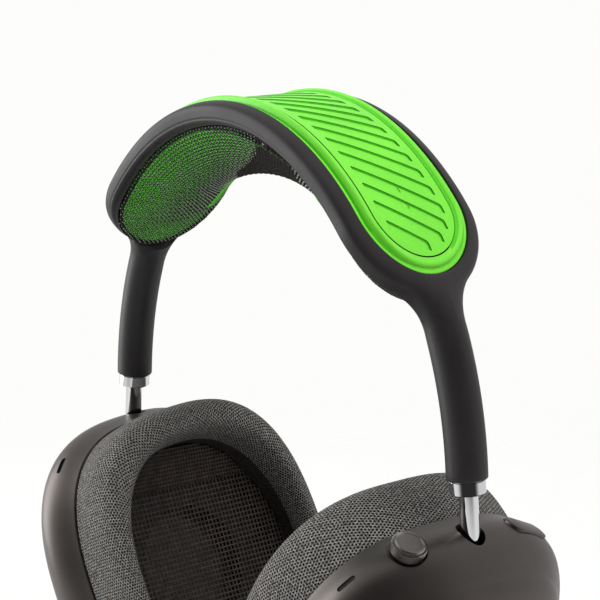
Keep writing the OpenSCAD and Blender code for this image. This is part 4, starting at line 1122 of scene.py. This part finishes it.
def cushion(side):
    """A crowned foam ring in jersey: the skirt hides the plate, the crown rolls into the well."""
    n = CUSHION_AROUND
    outer, girth = even_outline(CUP_HALF_V - 0.4, CUP_HALF_W - 0.4, CUP_SQUARE, n)
    angle_o = np.unwrap(np.arctan2(outer[:, 1], outer[:, 0]))
    dense, _ = even_outline(LIP_HALF_V, WELL_HALF_W, 2.3, 2000)
    angle_i = np.arctan2(dense[:, 1], dense[:, 0])
    inner = dense[[int(np.argmin(np.abs(np.angle(np.exp(1j * (angle_i - a)))))) for a in angle_o]]
    for _ in range(3):
        inner = 0.5 * inner + 0.25 * (np.roll(inner, 1, 0) + np.roll(inner, -1, 0))
    out_dir = outer / np.linalg.norm(outer, axis=1, keepdims=True)
    in_dir = inner / np.linalg.norm(inner, axis=1, keepdims=True)
    square = np.abs(outer[:, :1] * outer[:, 1:]) * 2
    bulge = CUSHION_BULGE + CORNER_BULGE * (square / square.max()) ** 1.5
    height = CUSHION_H * (1 + WEDGE * outer[:, 0] / CUP_HALF_V)
    undercut = WELL_UNDERCUT * (1 - ease(in_dir[:, 1:] * 1.5))
    rows = []
    # Skirt over the plate, from its inside to the seam
    for inset, u in ((0.95, CUSHION_U + 0.02), (0.95, -13.62), (0.7, -13.5), (0.35, -13.52), (0.08, -13.75)):
        rows.append((outer - out_dir * inset, np.full(n, u)))
    for t in np.radians(np.linspace(0, 180, 49)):
        c, s = math.cos(t), max(math.sin(t), 0)
        x = math.copysign(abs(c) ** (2 / CUSHION_SQUARE), c)
        h = s ** (2 / CUSHION_SQUARE)
        p = mix(outer, inner, (1 - x) / 2) + out_dir * bulge * h * max(x, 0)
        # The well's wall leans outward below its lip
        p = p + in_dir * undercut * float(ease((0.75 - h) / 0.6)) * max(-x, 0) ** 4
        rows.append((p, CUSHION_U - height * h))
    rings = [np.column_stack([u, CUP_V + p[:, 0], CUP_W + p[:, 1]]) for p, u in rows]
    points = np.concatenate(rings)
    faces = grid(len(rings), n, loop_rows=True, loop_cols=True)
    across = np.concatenate([[0], np.cumsum([np.linalg.norm(b - a, axis=1).mean()
                                             for a, b in zip(rings, rings[1:])])])
    whole = round(girth / KNIT_PITCH) * KNIT_PITCH
    uv, index = [], []
    depth = np.array([u.mean() for _, u in rows])
    for r in range(len(rings)):
        r2 = (r + 1) % len(rings)
        v1, v2 = across[r], across[r2] if r2 else across[-1] + 8
        lining = r > len(rings) - 20 and (depth[r] + depth[r2]) / 2 > CUSHION_U - LINING_DEPTH
        for c in range(n):
            u1, u2 = whole * c / n, whole * (c + 1) / n
            uv += [(u1, v1), (u2, v1), (u2, v2), (u1, v2)]
            index.append(1 if lining or r2 == 0 else 0)
    points, faces = placed(points, AT_CUP), faces.tolist()
    if side == "right":
        faces = [f[::-1] for f in faces]
        uv = np.array(uv).reshape(-1, 4, 2)[:, ::-1]
    else:
        points = points * [-1, 1, 1]
    obj = piece(side + "_cushion_knit", points, faces, [CUSHION_KNIT, LINING], index, uv, sharp=80)
    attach(obj, side + "_pad")
    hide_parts(side + "_cushion")
    return obj


MESH_PITCH, FINE_PITCH = 1.45, 1.1
MESH_LEAN = math.radians(-5.5)  # the mesh lies turned a little in the well
MESH_FOLD = 16 * MESH_PITCH     # where the finer mesh is sewn to the coarse one


def acoustic_mesh(side):
    """Open mesh over the driver; above its fold a finer one runs up to the wall."""
    points, where, edges = [], {}, []
    lean_c, lean_s = math.cos(MESH_LEAN), math.sin(MESH_LEAN)
    for fine, pitch, start in ((False, MESH_PITCH, 0.0), (True, FINE_PITCH, MESH_FOLD)):
        span = int(1.3 * WELL_HALF_W // pitch)
        for i in range(0 if fine else -span, span):
            for k in range(-span, span + 1):
                across, up = k * pitch, start + i * pitch
                v, w = across * lean_c - up * lean_s, across * lean_s + up * lean_c
                reach = (WELL_UNDERCUT - 0.5) * (1 - float(ease(w / 24)))
                if (not fine and up > MESH_FOLD + 0.01) or (abs(v) / (LIP_HALF_V + reach)) ** 2.3 + (
                        abs(w) / (WELL_HALF_W + reach)) ** 2.3 > 1:
                    continue
                where[fine, i, k] = len(points)
                rise = MESH_RISE + 2.0 * float(ease((up - MESH_FOLD) / 12))
                points.append((CUSHION_U - rise, CUP_V + v, CUP_W + w))
    for (fine, i, k), a in where.items():
        edges += [(a, where[q]) for q in ((fine, i + 1, k), (fine, i, k + 1)) if q in where]
    obj = net_piece(side + "_acoustic_mesh", side_points(side, points), edges,
                    MESH_YARN, 0.26, 5, MESH_YARN, 0.2)
    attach(obj, side + "_pad")
    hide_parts(side + "_acoustic_liner")
    return obj


for side in ("right", "left"):
    cushion(side)
    acoustic_mesh(side)

# ---------------------------------------------------------------- stems and collars


def collar(side):
    """A ring with its foot edge chamfered, a groove near its top and a spigot into the arm."""
    chamfer, foot, bore = 0.22, -COLLAR_H, STEM_R + 0.1
    groove, spigot_r = COLLAR_R - 0.12, BUSH_R - 2 * FIT_GAP
    profile = [(bore, SPIGOT_LEN), (bore, foot + 0.1), (bore + 0.1, foot), (COLLAR_R - chamfer, foot),
               (COLLAR_R, foot + chamfer), (COLLAR_R, -0.35), (groove, -0.18), (groove, -0.02),
               (spigot_r, -0.02), (spigot_r, SPIGOT_LEN)]
    obj = lathe(side + "_collar_ring", profile, AT_ARM, side, [CHROME], closed=True)
    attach(obj, "headband")
    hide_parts(side + "_collar")
    return obj


def stem(side):
    """A rod with a neck through the yoke and its clip at the foot and a seat for its glide on top."""
    yoke_z = -COLLAR_H - PIN_DROP + YOKE_PLATE_Z
    shoulder, foot = yoke_z + YOKE_PLATE_T + FIT_GAP, yoke_z - FIT_GAP - CLIP_T
    glide_z, glide_seat_r = STEM_TOP - GLIDE_LEN, 1.7
    profile = [(0, foot), (NECK_R - 0.15, foot), (NECK_R, foot + 0.15), (NECK_R, shoulder),
               (STEM_R - 0.5, shoulder), (STEM_R - 0.15, shoulder + 0.12), (STEM_R, shoulder + 0.5),
               (STEM_R, glide_z), (glide_seat_r, glide_z), (glide_seat_r, STEM_TOP - 0.1),
               (glide_seat_r - 0.1, STEM_TOP), (0, STEM_TOP)]
    obj = lathe(side + "_stem_rod", profile, AT_ARM, side, [CHROME])
    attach(obj, side + "_arm")
    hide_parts(side + "_stem")
    return obj


for side in ("right", "left"):
    collar(side)
    stem(side)

# ---------------------------------------------------------------- controls


def ridge_tree():
    """Sets a ridge at even steps round a rim and joins it to the knob."""
    tree, given = node_group("rim_ridges", (
        ("Ridges", "Int"), ("Rim radius", "Float"), ("Height", "Float"),
        ("Ridge size", "Vector"), ("Material", "Material")))
    rim = add(tree, "GeometryNodeMeshCircle", {"Vertices": given["Ridges"], "Radius": given["Rim radius"]})
    up = add(tree, "ShaderNodeCombineXYZ", {"Z": given["Height"]})
    raised = add(tree, "GeometryNodeSetPosition", {"Geometry": rim.outputs[0], "Offset": up.outputs[0]})
    bar = add(tree, "GeometryNodeMeshCylinder", {"Vertices": 6, "Radius": 0.5, "Depth": 1.0})
    sized = add(tree, "GeometryNodeTransform",
                {"Geometry": bar.outputs["Mesh"], "Scale": given["Ridge size"]})
    dyed = add(tree, "GeometryNodeSetMaterial",
               {"Geometry": sized.outputs[0], "Material": given["Material"]})
    place = add(tree, "GeometryNodeInputPosition")
    flat = vector(tree, "MULTIPLY", place.outputs[0], (1, 1, 0))
    turn = add(tree, "FunctionNodeAlignRotationToVector", {"Vector": flat}, axis="X", pivot_axis="Z")
    return strewn(tree, given["Geometry"], {"Points": raised.outputs[0], "Instance": dyed.outputs[0],
                                            "Rotation": turn.outputs[0]})


def crown():
    """A turned knob with a chamfered face and fine ridges round its rim, on its shaft."""
    low, high = 0.2 + PRESS, 0.2 + PRESS + CROWN_H
    r = CROWN_R - 0.22
    shaft_r, foot = CROWN_SHAFT_R, -CROWN_SHAFT_LEN
    profile = [(0, foot), (shaft_r - 0.1, foot), (shaft_r, foot + 0.1), (shaft_r, low), (r - 0.4, low),
               (r - 0.1, low + 0.3), (r - 0.1, high - 1.7), (r, high - 1.6), (r, high - 0.8),
               (r - 0.85, high - 0.1), (r - 0.95, high - 0.02), (r - 1.15, high),
               (r - 1.25, high - 0.1), (0, high - 0.1)]
    obj = lathe("crown_dial", profile, Matrix.Identity(4), "right", [ALUMINIUM, FACED_ALUMINIUM], steps=120,
                sharp=25)
    for f in obj.data.polygons:
        f.material_index = int(f.center.z * 1000 > high - 0.7)
    through(obj, ridge_tree(), {
        "Ridges": 48, "Rim radius": (r - 0.3) * 0.001, "Height": (high - 1.0) * 0.001,
        "Ridge size": (0.0008, 0.00026, 0.0013), "Material": BRIGHT_ALUMINIUM}, sharp=25)
    mesh = obj.data
    mesh.transform(Matrix.Scale(1000, 4))
    mesh.transform(AT_CROWN)
    mesh.transform(Matrix.Scale(0.001, 4))
    mesh.update()
    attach(obj, "crown")
    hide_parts("crown_knob")
    return obj


def crown_floor():
    """The flat floor of the crown's seat, part of the shell, with the bore for the shaft."""
    profile = [(CROWN_BORE, -0.35), (CROWN_R + 0.32, -0.35), (CROWN_R + 0.32, 0), (CROWN_BORE, 0)]
    obj = lathe("crown_seat_floor", profile, AT_CROWN, "right", [ALUMINIUM], closed=True)
    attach(obj, "right_cup")
    return obj


def button():
    """A pill that follows the shell's curve and stands a little proud of it."""
    place = on_skin(CONTROL_U, BUTTON_FRONT)
    slope = skin_slope(CONTROL_U, BUTTON_FRONT)
    base_w = float(skin_w(CONTROL_U, BUTTON_FRONT))

    def skin_z(x, y):
        z = np.zeros_like(x)
        for _ in range(6):
            v = BUTTON_FRONT + y * math.cos(slope) - z * math.sin(slope)
            w = base_w + y * math.sin(slope) + z * math.cos(slope)
            z = z + (skin_w(CONTROL_U + x, v) - w) * math.cos(slope)
        return z

    rim = pill_points(1, 0, 0, 40)[:, :2]
    rings = []
    for shrink, drop in ((0.0, -2.4), (0.0, -0.32), (0.03, -0.16), (0.12, -0.05), (0.3, 0.0), (0.7, 0.02),
                         (1.2, 0.03), (1.8, 0.03), (2.4, 0.03), (2.99, 0.03)):
        r = BUTTON_R - shrink
        x = rim[:, 0] * r
        y = rim[:, 1] * r + np.where(np.arange(len(rim)) < 40, BUTTON_HALF_L, -BUTTON_HALF_L)
        z = skin_z(x, y)
        rings.append(np.column_stack([x, y, np.where(drop < -1, drop + BUTTON_PROUD + np.minimum(z, 0) * 0.2,
                                                     z + BUTTON_PROUD * 0.82 + drop)]))
    n = len(rings[0])
    points = np.concatenate(rings)
    faces = grid(len(rings), n, loop_cols=True).tolist()
    faces.append(list(range(n))[::-1])
    last = (len(rings) - 1) * n
    # The top's middle strip joins facing points of the pill
    half = n // 2
    for k in range(half - 1):
        faces.append([last + k, last + k + 1, last + n - 2 - k, last + n - 1 - k])
    points = placed(placed(points, place), AT_CUP)
    obj = piece("noise_button_cap", points, faces, [ALUMINIUM], weld=2e-6)
    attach(obj, "button")
    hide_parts("noise_button")
    return obj


crown()
crown_floor()
button()

# ---------------------------------------------------------------- carried-over CAD nodes

KEPT = {"crown_sleeve": BRONZE, "crown_bush": BLACK_ABS, "button_switch": BOARD,
        "battery_cells": FOIL, "charging_port": STEEL}
for side in ("right", "left"):
    KEPT.update({side + end: m for end, m in {
        "_guide_bush": ACETAL, "_stem_glide": BLACK_ABS, "_yoke": BLACK_STEEL, "_stem_clip": STEEL,
        "_tilt_pin": BLACK_STEEL, "_hinge_bracket": BLACK_STEEL, "_tilt_spring": STEEL, "_baffle": BLACK_ABS,
        "_driver_basket": BLACK_ABS, "_driver_magnet": MAGNET, "_diaphragm": FILM, "_baffle_screws": STEEL,
        "_cushion_plate": BLACK_ABS, "_circuit_board": BOARD, "_mic_screen": SLOT_PAINTED_SHADE}.items()})
for name, material in KEPT.items():
    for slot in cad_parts[name].material_slots:
        slot.material = material

# ---------------------------------------------------------------- studio

floor_z = float(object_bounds()[0][2]) - 0.0004

# The camera's azimuth, elevation and roll in radians, its distance and what it looks at in metres
CAM_AZ, CAM_EL, CAM_FAR = 0.8563611, 0.2122225, 0.4351
SENSOR_MM, FOCAL_WIDTHS = 36.0, 1670.53 / 600       # the focal length, as a share of the view's width
CAM_AIM, CAM_ROLL = Vector((0.007557, 0.0, ARCH_BASE_Z * 0.001 + 0.04028)), -0.006767


def floor():
    """A pale round floor that thins out into the white behind it."""
    rim = np.linspace(0, 2 * np.pi, 96, endpoint=False)
    rings = [0.0, 60, 120, 200, 300, 420, 560]
    points = [(r * math.cos(a), r * math.sin(a), floor_z * 1000) for r in rings[1:] for a in rim]
    faces = grid(len(rings) - 1, len(rim), loop_cols=True).tolist() + [list(range(len(rim)))[::-1]]
    obj = piece("studio_floor", points, [f[::-1] for f in faces], [floor_paper()], sharp=60)
    return obj


def heading(azimuth, elevation):
    """The direction from the model at an azimuth from the front and an elevation, in radians."""
    return Vector((math.sin(azimuth) * math.cos(elevation), -math.cos(azimuth) * math.cos(elevation),
                   math.sin(elevation)))


def camera():
    data = bpy.data.cameras.new("camera")
    data.sensor_fit, data.sensor_width = "HORIZONTAL", SENSOR_MM
    data.lens = FOCAL_WIDTHS * SENSOR_MM
    data.clip_start, data.clip_end = 0.02, 20
    obj = link("camera", data)
    look = -heading(CAM_AZ, CAM_EL)
    right = look.cross(Vector((0, 0, 1))).normalized()
    up = right.cross(look)
    c, s = math.cos(CAM_ROLL), math.sin(CAM_ROLL)
    right, up = right * c + up * s, up * c - right * s
    turn = Matrix((right, up, -look)).transposed().to_4x4()
    obj.matrix_world = Matrix.Translation(CAM_AIM - look * CAM_FAR) @ turn
    bpy.context.scene.camera = obj
    return obj


def softbox(name, azimuth, elevation, distance, size_m, watts):
    data = bpy.data.lights.new(name, "AREA")
    data.shape, data.size, data.size_y, data.energy = "RECTANGLE", size_m[0], size_m[1], watts
    obj = link(name, data)
    place = heading(math.radians(azimuth), math.radians(elevation)) * distance
    aim = Vector((0, 0, -0.07))
    obj.location = place + aim
    obj.rotation_euler = (-place).to_track_quat("-Z", "Y").to_euler()
    return obj


def studio_world():
    """White to the camera and to reflections, darker toward the camera, level light on the object."""
    world = bpy.data.worlds.new("studio")
    bpy.context.scene.world = world
    world.use_nodes = True
    tree = world.node_tree
    tree.nodes.clear()
    path = add(tree, "ShaderNodeLightPath").outputs
    ray = add(tree, "ShaderNodeTexCoord").outputs["Generated"]
    toward = span(tree, vector(tree, "DOT_PRODUCT", ray, heading(CAM_AZ, CAM_EL)), 0.25, 0.72, 0.8, 0.03,
                  kind="SMOOTHSTEP")
    seen, reflected, lit = (
        add(tree, "ShaderNodeBackground", {"Color": linear(colour), "Strength": strength}).outputs[0]
        for colour, strength in (("#fdfdfb", 1.0), ("#ffffff", toward), ("#ffffff", 0.42)))
    gloss = add(tree, "ShaderNodeMixShader", {0: path["Is Glossy Ray"], 1: lit, 2: reflected}).outputs[0]
    direct = scalar(tree, "MAXIMUM", path["Is Camera Ray"], path["Is Transmission Ray"])
    whole = add(tree, "ShaderNodeMixShader", {0: direct, 1: gloss, 2: seen})
    add(tree, "ShaderNodeOutputWorld", {"Surface": whole.outputs[0]})


camera()
floor()
studio_world()
softbox("left_softbox", -60, 10, 1.4, (0.9, 1.3), 18)
for name, azimuth, elevation, watts in (("top_softbox", 60, 80, 9), ("right_softbox", 115, 40, 5)):
    softbox(name, azimuth, elevation, 1.3, (0.9, 0.9), watts).visible_glossy = False
bpy.context.scene.view_settings.view_transform = "Standard"
